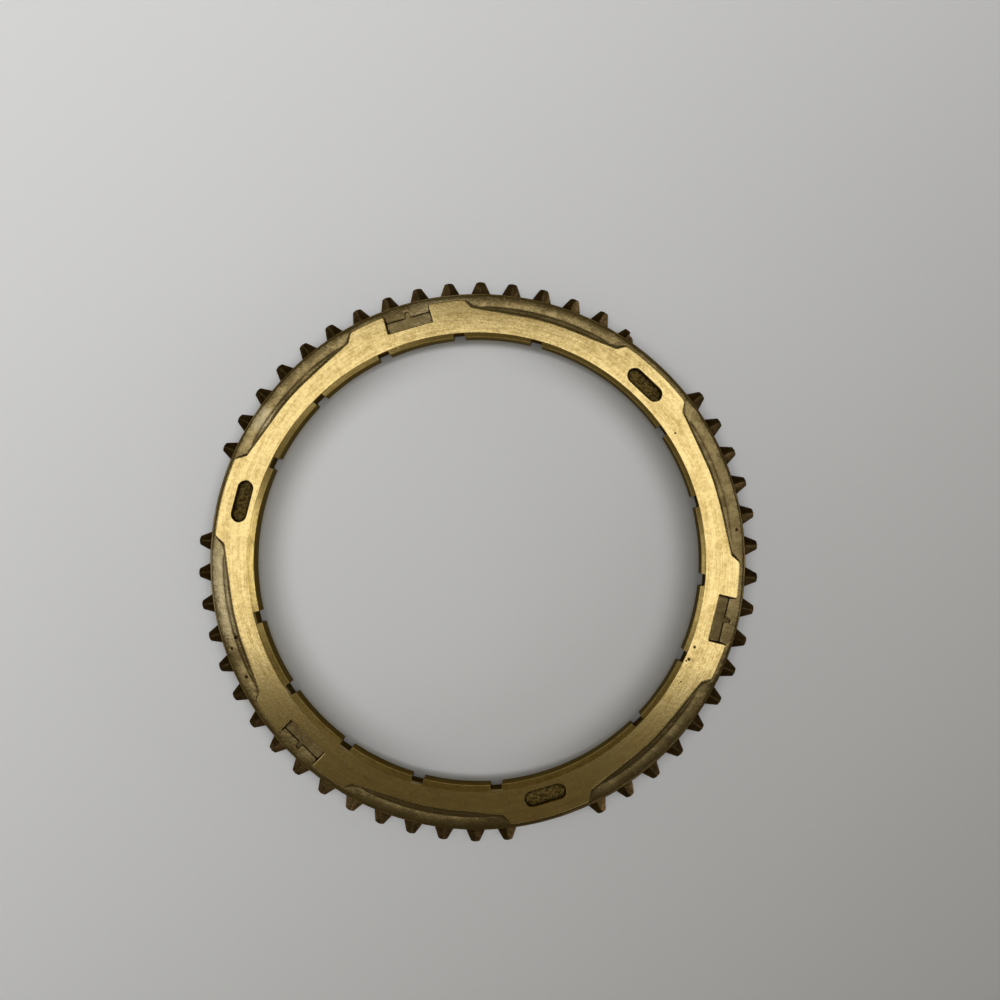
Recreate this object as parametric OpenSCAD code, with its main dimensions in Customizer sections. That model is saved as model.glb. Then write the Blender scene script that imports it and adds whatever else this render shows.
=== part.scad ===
// Brass synchronizer ring of a truck gearbox, also called a blocker ring.
// Millimetres. Z = 0 is the face towards the gear, on which the ring lies, and +Z points to the hub.
// The axis of the ring is Z, and +X runs through the middle of one key slot.

/* [Ring] */
// Diameter over the tooth tips
tip_d = 137.5; // [125:0.1:150]
// Height from the gear-side face to the machined hub-side face
height = 11.5; // [10.6:0.1:14]
// Height of the forged rim between the pads
rim_h = 9.3; // [8:0.1:9.8]
// Radius on the outer edge of the rim
rim_edge_r = 0.8; // [0.2:0.1:1.2]
// Chamfer on the outer edge of the gear-side face
back_chamfer = 0.4; // [0.1:0.1:0.8]

/* [Friction cone] */
// Half angle of the cone
cone_angle = 6.5; // [5:0.1:8]
// Chamfer at the hub-side mouth of the bore, measured along the radius
mouth_chamfer = 1.1; // [0.3:0.1:1.6]
// Chamfer at the gear-side mouth of the bore
throat_chamfer = 0.5; // [0.1:0.1:1]

/* [Oil grooves] */
// Equal groove places in each third of the bore
groove_places = 6; // [2:1:8]
// Place in each third that is left without a groove, counted from the key slot
groove_left_out = 3; // [0:1:7]
// Angle from the key slot to the first groove
groove_start = 8.6; // [0:0.1:15]
// Width of a groove
groove_w = 2.9; // [1:0.1:5]
// Depth of a groove under the cone
groove_depth = 1.1; // [0.4:0.1:1.6]

/* [Blocking teeth] */
// Equal tooth places round the rim
tooth_places = 54; // [48:3:60]
// Tooth places left empty beside each lug
teeth_left_out = 2; // [0:1:4]
// Height of a tooth, from its root on the rim to its tip
tooth_h = 4.15; // [3.3:0.05:5]
// Width of a tooth at its root
tooth_root_w = 6.1; // [4:0.1:6.6]
// Width of a tooth at its tip
tooth_tip_w = 2.1; // [1.2:0.1:3]
// Radius on the two corners of a tooth tip
tooth_corner_r = 0.5; // [0.1:0.1:0.8]
// Height of the ridge of a tooth
tooth_ridge_h = 4.6; // [3:0.1:7]
// Width of the flat left along the ridge
tooth_ridge_w = 0.25; // [0.1:0.05:0.6]
// Slope of the two roof faces of a tooth
tooth_roof_angle = 35; // [20:1:45]
// Tooth with the broken flank, counted from the lug it follows
chipped_tooth = 1; // [1:1:10]
// Width of the tip that the break leaves
chip_tip_w = 0.25; // [0.1:0.05:1.5]
// Height above the root at which the break turns outwards
chip_turn_h = 2.6; // [2.1:0.1:3.2]
// Height of the stub left at the broken flank
chip_stub_h = 1.8; // [0.8:0.1:2]

/* [Machined face] */
// Width of the face in the narrow stretches, from the mouth chamfer to the recess
face_w = 4.6; // [4:0.1:6.5]
// Width of the forged recess that the narrow stretches leave inside the rim's outer wall
recess_w = 5.2; // [4.6:0.1:5.8]
// Fillet from the narrow stretch down to the rim
narrow_fillet = 1.2; // [0.4:0.1:1.4]
// Width of the rim left outside the pads
pad_margin = 2; // [1.4:0.1:2.6]
// Fillet from the pads down to the rim
pad_fillet = 0.5; // [0.1:0.1:0.6]
// How far a pad's flank has risen from the narrow stretch where its slanted end starts
pad_foot_rise = 1.2; // [0.5:0.1:1.8]
// Half angle of a lug pad at its outer edge
lug_top_half = 8.8; // [7.5:0.1:10]
// Half angle of a shoulder pad, from the slot's middle, at its outer edge
shoulder_top_half = 13.2; // [10:0.1:15]
// Angle over which a pad's end slants from its outer edge to its foot
pad_end_angle = 1.6; // [0.5:0.1:3]

/* [Key slots] */
// Width of a key slot
slot_w = 11.2; // [8:0.1:14]
// Depth of a key slot, from the rim's outer wall to the slot's flat inner wall
slot_depth = 6.4; // [5.8:0.1:7.4]
// Width of the shallow channel along the inner wall
channel_w = 3; // [2:0.1:3.6]
// Depth of the channel under the rim
channel_depth = 0.7; // [0.3:0.1:3]
// Width of the small notch in the middle of the channel's outer edge
notch_w = 1.1; // [0.5:0.1:3]
// Length of that notch
notch_l = 1.4; // [0.5:0.1:1.6]

/* [Lug pockets] */
// Length of the oval pocket on a lug
pocket_l = 10.2; // [6:0.1:14]
// Width of the pocket
pocket_w = 3.8; // [2:0.1:4.6]
// Depth of the pocket
pocket_depth = 1.1; // [0.3:0.1:2]
// Distance from the pad's outer edge to the middle of the pocket
pocket_inset = 4.4; // [3.2:0.1:5]

/* [Hidden] */

$fn = 180;
// How far a cutter runs past the surface that it opens
over = 1;
// How far an added form is rooted in what carries it
root = 1;
// The ring repeats itself three times: a key slot, then a lug half way to the next
thirds = 3;
third_angle = 360 / thirds;
lug_angle = third_angle / 2;

tip_r = tip_d / 2;
rim_r = tip_r - tooth_h;
pad_r = rim_r - pad_margin;
narrow_r = rim_r - recess_w;
pad_foot_r = narrow_r + pad_foot_rise;
face_r = narrow_r - face_w;
// The cone's small end lies under the mouth chamfer, and its large end at the throat
cone_r = face_r - mouth_chamfer;
mouth_z = height - mouth_chamfer;
throat_r = cone_r + mouth_z * tan(cone_angle);
groove_pitch = third_angle / groove_places;
tooth_pitch = 360 / tooth_places;
// Lean of a tooth's flank from the tooth's own middle line
flank_lean = atan((tooth_root_w - tooth_tip_w) / 2 / tooth_h);
// Half width of a tooth where it is rooted in the rim
rooted_half_w = tooth_root_w / 2 + root * tan(flank_lean);
slot_wall_x = rim_r - slot_depth;
channel_floor = rim_h - channel_depth;
channel_edge_x = slot_wall_x + channel_w;
pocket_r = pad_r - pocket_inset;

// Point at radius r and angle a
function polar(r, a) = [r * cos(a), r * sin(a)];

// Points of an arc about c, from angle from to angle to
function arc(c, r, from, to, steps = 6) =
    [for (i = [0:steps]) c + polar(r, from + (to - from) * i / steps)];

// Angle at which a line from radius r touches the narrow circle
function tangent_angle(r) = acos(narrow_r / r);

// A square corner less its round, to take off a convex edge with a radius of r
module edge_round(r) {
    difference() {
        square(r + over);
        circle(r);
    }
}

// A square corner less its hollow, to fill a concave edge with a radius of r
module corner_fill(r) {
    difference() {
        square(r);
        translate([r, r]) circle(r);
    }
}

// Section of the ring through a narrow stretch, between the teeth
module section() {
    difference() {
        union() {
            polygon([
                [throat_r + throat_chamfer, 0],
                [rim_r - back_chamfer, 0],
                [rim_r, back_chamfer],
                [rim_r, rim_h],
                [narrow_r, rim_h],
                [narrow_r, height],
                [face_r, height],
                [cone_r, mouth_z],
                [throat_r - throat_chamfer * tan(cone_angle), throat_chamfer]
            ]);
            translate([narrow_r, rim_h]) corner_fill(narrow_fillet);
        }
        translate([rim_r - rim_edge_r, rim_h - rim_edge_r]) edge_round(rim_edge_r);
    }
}

// Section of a pad, from inside the narrow stretch out to the pad's edge
module pad_section() {
    translate([narrow_r - root, rim_h - root]) square([pad_r - narrow_r + root, height - rim_h + root]);
    translate([pad_r, rim_h]) corner_fill(pad_fillet);
}

// Plan of a pad about the X axis: straight flanks off the narrow circle, then slanted ends
module pad_plan(top_half) {
    foot_half = top_half + pad_end_angle;
    flank_half = foot_half + tangent_angle(pad_foot_r);
    foot = polar(pad_foot_r, foot_half);
    top = polar(pad_r, top_half);
    // The slant is carried on past the pad's edge, where the section ends it
    far = top + (top - foot);
    flank = polar(narrow_r, flank_half);
    inner = polar(narrow_r - root, flank_half);
    upper = [inner, flank, foot, far];
    polygon(concat(upper, [for (i = [len(upper) - 1:-1:0]) [upper[i][0], -upper[i][1]]]));
}

// One pad, centred on the X axis
module pad(top_half) {
    intersection() {
        rotate_extrude() pad_section();
        linear_extrude(height) pad_plan(top_half);
    }
}

// Key slot in the X direction: the pad is opened down to the rim, with a channel along the inner wall
module key_slot() {
    translate([slot_wall_x, -slot_w / 2, rim_h]) cube([slot_depth, slot_w, height - rim_h + over]);
    translate([slot_wall_x, -slot_w / 2, channel_floor])
        cube([channel_w, slot_w, height - channel_floor + over]);
    translate([channel_edge_x - root, -notch_w / 2, channel_floor])
        cube([root + notch_l, notch_w, height - channel_floor + over]);
}

// Oval pocket in a lug's face, across the X axis
module pocket() {
    straight = pocket_l - pocket_w;
    translate([pocket_r, 0, height - pocket_depth]) linear_extrude(pocket_depth + over) {
        square([pocket_w, straight], center = true);
        for (side = [-1, 1]) translate([0, side * straight / 2]) circle(d = pocket_w, $fn = 48);
    }
}

// Oil groove in the X direction, its floor parallel to the cone
module groove() {
    length = height + 2 * over;
    translate([throat_r, 0, 0]) rotate([0, -cone_angle, 0])
        translate([-groove_w, -groove_w / 2, -over]) cube([groove_w + groove_depth, groove_w, length]);
}

// Plan of a tooth that points along X, with rounded tip corners
module tooth_plan() {
    lean_in = 90 - flank_lean;
    corner_x = tip_r - tooth_corner_r;
    corner_y = tooth_tip_w / 2 - tooth_corner_r * tan(lean_in / 2);
    corner = arc([corner_x, corner_y], tooth_corner_r, 0, lean_in);
    upper = concat(corner, [[rim_r - root, rooted_half_w]]);
    polygon(concat([for (i = [len(upper) - 1:-1:0]) [upper[i][0], -upper[i][1]]], upper));
}

// Cross-section of a tooth: upright flanks under two roof faces and a narrow ridge
module tooth_roof() {
    eaves_h = tooth_ridge_h - (rooted_half_w - tooth_ridge_w / 2) * tan(tooth_roof_angle);
    polygon([
        [-rooted_half_w, 0],
        [rooted_half_w, 0],
        [rooted_half_w, eaves_h],
        [tooth_ridge_w / 2, tooth_ridge_h],
        [-tooth_ridge_w / 2, tooth_ridge_h],
        [-rooted_half_w, eaves_h]
    ]);
}

// One blocking tooth, pointing along X
module tooth() {
    intersection() {
        linear_extrude(tooth_ridge_h) tooth_plan();
        translate([rim_r - root - over, 0, 0]) rotate([90, 0, 90])
            linear_extrude(tooth_h + root + 2 * over) tooth_roof();
    }
}

// What is broken off a tooth: most of the tip, and one flank down to a stub
module chip() {
    translate([rim_r, 0, -over]) linear_extrude(tooth_ridge_h + 2 * over)
        polygon([
            [tooth_h, tooth_tip_w / 2 - chip_tip_w],
            [chip_turn_h, 0],
            [chip_stub_h, -rooted_half_w],
            [tooth_h + over, -rooted_half_w],
            [tooth_h + over, tooth_tip_w / 2 - chip_tip_w]
        ]);
}

// All the teeth: the places beside the lugs are empty
module teeth() {
    first_from_lug = (teeth_left_out + 1) / 2;
    per_third = tooth_places / thirds - teeth_left_out;
    for (third = [0:thirds - 1], i = [0:per_third - 1]) {
        rotate([0, 0, third * third_angle + lug_angle + (first_from_lug + i) * tooth_pitch])
            difference() {
                tooth();
                if (third == 0 && i == chipped_tooth - 1) chip();
            }
    }
}

// The whole ring, forged in one piece
module synchronizer_ring() {
    color([0.72, 0.58, 0.27])
        difference() {
            union() {
                rotate_extrude() section();
                for (third = [0:thirds - 1]) rotate([0, 0, third * third_angle]) {
                    pad(shoulder_top_half);
                    rotate([0, 0, lug_angle]) pad(lug_top_half);
                }
                teeth();
            }
            for (third = [0:thirds - 1]) rotate([0, 0, third * third_angle]) {
                key_slot();
                rotate([0, 0, lug_angle]) pocket();
                for (place = [0:groove_places - 1]) if (place != groove_left_out)
                    rotate([0, 0, groove_start + place * groove_pitch]) groove();
            }
        }
}

synchronizer_ring();
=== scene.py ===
"""Brass synchronizer ring: its modelled skin, its finishes and the studio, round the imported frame.

Lengths are in millimetres until a mesh is made, and angles are in degrees. Plan points are arrays of shape
(count, 2), seen from the hub side. The frame is the part's own: +Z to the hub side, +X through a key slot.
"""

import logging
import math
from dataclasses import dataclass, field
from enum import Enum
from typing import Mapping, Sequence

import bpy
import numpy as np
from mathutils import Matrix, Vector
from numpy.typing import NDArray


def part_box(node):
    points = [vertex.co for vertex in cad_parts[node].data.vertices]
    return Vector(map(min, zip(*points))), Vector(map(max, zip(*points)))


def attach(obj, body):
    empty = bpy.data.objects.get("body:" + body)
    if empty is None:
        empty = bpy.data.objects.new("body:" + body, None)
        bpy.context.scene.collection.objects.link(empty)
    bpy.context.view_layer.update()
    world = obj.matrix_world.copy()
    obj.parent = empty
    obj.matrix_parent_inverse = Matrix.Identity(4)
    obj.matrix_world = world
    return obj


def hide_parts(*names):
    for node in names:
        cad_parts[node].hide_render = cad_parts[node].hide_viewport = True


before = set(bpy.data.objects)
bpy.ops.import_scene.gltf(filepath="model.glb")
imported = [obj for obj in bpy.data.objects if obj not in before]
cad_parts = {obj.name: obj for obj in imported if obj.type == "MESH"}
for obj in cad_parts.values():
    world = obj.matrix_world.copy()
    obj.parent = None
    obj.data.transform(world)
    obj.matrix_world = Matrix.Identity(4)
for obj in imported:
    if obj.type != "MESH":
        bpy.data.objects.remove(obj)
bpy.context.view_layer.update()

Array = NDArray[np.float64]

LOG = logging.getLogger("synchronizer_ring")
NODE = "synchronizer_ring"
BODY = "root"

# Millimetres to the frame's metres
MM = 0.001

# The ring repeats three times: a key slot in the middle of each third, half a lug at either end
THIRD = 120.0
HALF_THIRD = 60.0
SLOT_PLACES = (0.0, 120.0, 240.0)

# Spacing of the points along an outline before columns are picked from it
TRACE_STEP = 0.02

# Least length that a direction is divided by
TINY = 1e-6

# How far large faces outweigh small ones in the skin's even shading, where 50 is neutral
EVEN_WEIGHT = 80

# Width of the soft change between a light and a strong roll of an outline
ROLL_CHANGE = 0.02

# Frame angle less photo angle: the photo's right side lies at this angle in the frame
PHOTO_TURN = 13.83

# Photo angle of the side towards which the rim is painted darker, as painted shade
SHADED_SIDE = 325.0

# Radius at which the length of a turning streak is measured
STREAK_R = 57.0

# Corners of the chipped tooth's break: how far out from the rim, and how far aside from the tooth's middle
BREAK_CORNERS = ((0.75, -2.42), (1.6, -1.95), (2.0, -1.4), (2.2, -0.4), (3.05, 0.4), (3.15, 1.1), (2.9, 1.58))


class Zone(Enum):
    """Parts of the skin that carry a finish of their own, in material slot order."""

    FACE = 0
    CONE = 1
    RIM = 2
    TEETH = 3
    POCKET = 4
    MOUTH = 5


def polar(radius: float | Array, degrees: float | Array) -> Array:
    """Plan points (r cos a, r sin a) at a radius and an angle."""
    angle = np.radians(degrees)
    return np.stack(np.broadcast_arrays(radius * np.cos(angle), radius * np.sin(angle)), axis=-1)


def bearing(points: Array) -> Array:
    """Angle of plan points round the axis, in degrees from -180 to 180."""
    return np.degrees(np.arctan2(points[..., 1], points[..., 0]))


def reach(points: Array) -> Array:
    """Distance of plan points from the axis."""
    return np.hypot(points[..., 0], points[..., 1])


def turned(points: Array, degrees: float | Array) -> Array:
    """Plan points turned round the axis: (x cos a - y sin a, x sin a + y cos a).

    Args:
        points: The plan points.
        degrees: One angle, or one for each point.

    Returns:
        The turned points.
    """
    angle = np.radians(degrees)
    x = points[..., 0]
    y = points[..., 1]
    return np.stack((x * np.cos(angle) - y * np.sin(angle), x * np.sin(angle) + y * np.cos(angle)), axis=-1)


def eased(value: Array, start: float, end: float) -> Array:
    """A soft step from 0 at start to 1 at end: t squared times (3 - 2t)."""
    t = np.clip((value - start) / (end - start), 0.0, 1.0)
    return t * t * (3.0 - 2.0 * t)


def between(first: Array, second: Array, share: float | Array) -> Array:
    """Plan points on the way from first to second: first + (second - first) times share.

    Args:
        first: Points at share 0.
        second: Points at share 1.
        share: One share, or one for each point.

    Returns:
        The points between.
    """
    part = np.asarray(share, float)
    if part.ndim:
        part = part[:, None]
    return first + (second - first) * part


@dataclass(frozen=True)
class Straight:
    """A straight stretch of an outline."""

    start: Array
    end: Array

    def length(self) -> float:
        """Length of the stretch."""
        return float(np.hypot(*(self.end - self.start)))

    def at(self, share: Array) -> Array:
        """Points at shares of the length: start + (end - start) times share."""
        return self.start + (self.end - self.start) * share[:, None]


@dataclass(frozen=True)
class Arc:
    """A stretch of a circle round the axis, from one angle to another."""

    radius: float
    start: float
    end: float

    def length(self) -> float:
        """Length of the stretch."""
        return self.radius * math.radians(abs(self.end - self.start))

    def at(self, share: Array) -> Array:
        """Points at shares of the turn from the start angle to the end angle."""
        return polar(self.radius, self.start + (self.end - self.start) * share)


Stretch = Straight | Arc


def trace_counts(stretches: Sequence[Stretch]) -> list[int]:
    """How many points each stretch gets: its length over the tracing step."""
    return [max(2, round(s.length() / TRACE_STEP)) for s in stretches]


def trace(stretches: Sequence[Stretch], counts: Sequence[int]) -> Array:
    """Points along stretches that follow each other, without the very last end.

    Args:
        stretches: The stretches, in order.
        counts: How many points each of them gets.

    Returns:
        Plan points of shape (sum of counts, 2).
    """
    return np.concatenate([s.at(np.arange(n) / n) for s, n in zip(stretches, counts)])


def rolled(third: Array, roll: float) -> Array:
    """An outline with its corners rolled smooth by a Gaussian along its length.

    Args:
        third: Points of one third, which repeats every 120 degrees.
        roll: The Gaussian's deviation in millimetres.

    Returns:
        The smoothed points, as many as before.
    """
    spread = roll / TRACE_STEP
    span = int(4 * spread) + 1
    offsets = np.arange(-span, span + 1)
    kernel = np.exp(-0.5 * (offsets / spread) ** 2)
    kernel /= kernel.sum()
    ends = np.concatenate((turned(third[-span:], -THIRD), third, turned(third[:span], THIRD)))
    return np.stack([np.convolve(ends[:, axis], kernel, mode="valid") for axis in (0, 1)], axis=-1)


def rounded(third: Array, convex: float, hollow: float) -> Array:
    """An outline with its outward corners rolled more than its inward ones.

    The strong roll pulls outward corners in and pushes inward corners out, so it is taken where it lies
    inside the light roll, with a soft change between the two.

    Args:
        third: Points of one third.
        convex: Deviation of the roll at outward corners.
        hollow: Deviation of the roll at inward corners.

    Returns:
        The smoothed points.
    """
    light = rolled(third, hollow)
    gap = rolled(third, convex) - light
    inside = -(gap * outward(light)).sum(axis=-1)
    return between(light, light + gap, eased(inside, 0.0, ROLL_CHANGE))


def outward(third: Array) -> Array:
    """Unit normals of an outline that runs counter-clockwise, pointing away from the solid side.

    Each is the step from the point before to the point after, turned a quarter clockwise.

    Args:
        third: Points of one third.

    Returns:
        One normal per point.
    """
    ends = np.concatenate((turned(third[-1:], -THIRD), third, turned(third[:1], THIRD)))
    along = ends[2:] - ends[:-2]
    across = np.stack((along[:, 1], -along[:, 0]), axis=-1)
    return across / np.hypot(across[:, 0], across[:, 1])[:, None]


@dataclass(frozen=True)
class ColumnPlan:
    """How the skin's columns are shared out round a third, so that all its outlines stay in step.

    Each outline places the same number of columns in each sector, by its own weights inside it.
    """

    sectors: tuple[float, ...] = (6.6667, 20.0, 33.3333, 46.6667, 53.3333, 60.0)
    counts: tuple[int, ...] = (38, 56, 50, 50, 30, 24)

    @property
    def columns(self) -> int:
        """Columns in one third."""
        return 2 * sum(self.counts)

    def places(self, angle: Array, weight: Array) -> Array:
        """Where the columns stand along a traced outline.

        Args:
            angle: Angle of each traced point, growing from -60 to 60 along the third.
            weight: How much each step from a point to the next asks for columns.

        Returns:
            Places as fractions of an index into the traced points, one for each column.
        """
        edges = np.array([-a for a in self.sectors[::-1]] + [0.0] + list(self.sectors))
        counts = self.counts[::-1] + self.counts
        total = np.concatenate(([0.0], np.cumsum(weight)))
        index = np.arange(len(total), dtype=float)
        growing = np.maximum.accumulate(np.append(angle, HALF_THIRD)) + 1e-9 * index
        marks = np.interp(edges, growing, total)
        marks[0], marks[-1] = total[0], total[-1]
        targets = np.concatenate(
            [np.linspace(a, b, n, endpoint=False) for a, b, n in zip(marks, marks[1:], counts)]
        )
        return np.interp(targets, total, index)


def column_weight(third: Array, angle: Array, shares: tuple[float, float, float]) -> Array:
    """How much each step along a traced third asks for columns.

    Args:
        third: Traced points of the third.
        angle: Their angles round the axis.
        shares: Shares given to progress round the axis, to length, and to turning of the outline.

    Returns:
        One weight per point, for the step to the next, adding up to about the sum of the shares.
    """
    ends = np.concatenate((third, turned(third[:2], THIRD)))
    step = np.diff(ends, axis=0)
    length = np.hypot(step[:-1, 0], step[:-1, 1])
    heading = np.unwrap(np.arctan2(step[:, 1], step[:, 0]))
    bend = np.abs(np.diff(heading))
    progress = np.abs(np.diff(np.append(angle, angle[0] + THIRD)))
    wishes = (progress, length, bend)
    return sum(share * wish / wish.sum() for share, wish in zip(shares, wishes))


def picked(values: Array, places: Array, last: Array | float) -> Array:
    """Values of a traced outline at fractional places.

    Args:
        values: One value or one point per traced point.
        places: Fractions of an index.
        last: The value that follows the last one, at the start of the next third.

    Returns:
        The values in between, one per place.
    """
    index = np.arange(len(values) + 1, dtype=float)
    if values.ndim == 1:
        return np.interp(places, index, np.append(values, last))
    ends = np.concatenate((values, np.reshape(last, (1, 2))))
    return np.stack([np.interp(places, index, ends[:, axis]) for axis in (0, 1)], axis=-1)


@dataclass(frozen=True)
class Ripple:
    """Unevenness of a forged surface: a sum of sine waves over the plan, at seeded angles and phases."""

    seed: int
    shortest: float
    longest: float
    waves: int = 24

    def at(self, points: Array) -> Array:
        """Height of the unevenness at plan points, of about unit deviation.

        Args:
            points: Plan points in the frame.

        Returns:
            One height per point.
        """
        rng = np.random.default_rng(self.seed)
        length = np.exp(rng.uniform(math.log(self.shortest), math.log(self.longest), self.waves))
        course = rng.uniform(0.0, 2.0 * math.pi, self.waves)
        phase = rng.uniform(0.0, 2.0 * math.pi, self.waves)
        number = 2.0 * math.pi / length
        across = points[..., 0, None] * (number * np.cos(course))
        along = points[..., 1, None] * (number * np.sin(course))
        travel = across + along
        return np.sin(travel + phase).sum(axis=-1) * math.sqrt(2.0 / self.waves)


@dataclass(frozen=True)
class FaceOutline:
    """Outline of the raised face in plan: slot wall, pads, slanted shoulders and the narrow stretch between.

    Angles are measured from the slot's middle for the shoulders, and from the lug's middle for the lug.
    """

    wall_x: float
    slot_half: float
    pad_r: float
    narrow_r: float
    foot_r: float
    shoulder_top: float
    shoulder_foot: float
    lug_top: float
    lug_foot: float

    def half(self) -> list[Stretch]:
        """Half a third of the outline.

        Returns:
            Stretches from the slot's middle to the lug's middle.
        """
        corner_x = math.sqrt(self.pad_r**2 - self.slot_half**2)
        slot_edge = math.degrees(math.asin(self.slot_half / self.pad_r))
        tangent = math.degrees(math.acos(self.narrow_r / self.foot_r))
        near_flank = self.shoulder_foot + tangent
        far_flank = HALF_THIRD - self.lug_foot - tangent
        middle = np.array((self.wall_x, 0.0))
        inner = np.array((self.wall_x, self.slot_half))
        outer = np.array((corner_x, self.slot_half))
        shoulder_foot = polar(self.foot_r, self.shoulder_foot)
        lug_foot = polar(self.foot_r, HALF_THIRD - self.lug_foot)
        return [
            Straight(middle, inner),
            Straight(inner, outer),
            Arc(self.pad_r, slot_edge, self.shoulder_top),
            Straight(polar(self.pad_r, self.shoulder_top), shoulder_foot),
            Straight(shoulder_foot, polar(self.narrow_r, near_flank)),
            Arc(self.narrow_r, near_flank, far_flank),
            Straight(polar(self.narrow_r, far_flank), lug_foot),
            Straight(lug_foot, polar(self.pad_r, HALF_THIRD - self.lug_top)),
            Arc(self.pad_r, HALF_THIRD - self.lug_top, HALF_THIRD),
        ]


def mirrored_third(half: Array, end: Array) -> Array:
    """A whole third from its half: the half mirrored across the slot's middle, then the half itself."""
    flip = np.array((1.0, -1.0))
    return np.concatenate((end[None, :] * flip, half[:0:-1] * flip, half))


@dataclass
class Columns:
    """The columns of one third: where each of them stands on every outline, the slot on the +X axis.

    Attributes:
        base: Angle of the third's slot in the frame.
        bore_angle: Angle in the bore.
        mouth_angle: Angle at the face's inner edge, on the way from the bore's columns to the face's.
        bore_out: Depth of the oil groove at the column.
        edge: Point on the raised face's edge.
        edge_normal: Outward direction there.
        foot: Point on the foot of the wall under that edge.
        middle: Point on the face's middle line.
        tooth: Point on the outline of the teeth.
        tooth_normal: Outward direction there.
        root_angle: Angle on the rim's cylinder that belongs to the tooth point.
        roof_z: Height of the tooth's roof at the column.
        stand: How far the tooth stands out from the rim at the column.
        broken: How much the column lies in the break of the chipped tooth.
    """

    base: float
    bore_angle: Array
    mouth_angle: Array
    bore_out: Array
    edge: Array
    edge_normal: Array
    foot: Array
    middle: Array
    tooth: Array
    tooth_normal: Array
    root_angle: Array
    roof_z: Array
    stand: Array
    broken: Array


@dataclass
class Row:
    """One line round the skin: its plan points, heights, finish of the strip above it, wear, and grime, which
    is mostly painted shade in hollows and corners.

    A crisp row is an edge that the shading isn't smoothed across.
    """

    plan: Array
    height: Array
    zone: Zone
    wear: Array
    grime: Array
    crisp: bool = False


@dataclass
class CreaseLine:
    """The line along the rim's crease, which becomes the channel's outer edge in a slot.

    Attributes:
        edge: Plan points of the line.
        lip: A step across the line, of half its width.
        leave: 1 where the line follows the channel, falling to 0 where it leaves it.
        crease: 1 where the line follows the crease, falling to 0 where the wall's foot pushes it further out.
    """

    edge: Array
    lip: Array
    leave: Array
    crease: Array

    def grime(self, channel: float, crease: float) -> Array:
        """Painted shade along the line: the channel's where it follows the channel, plus the crease's
        elsewhere.
        """
        return channel * self.leave + crease * self.crease


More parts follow.
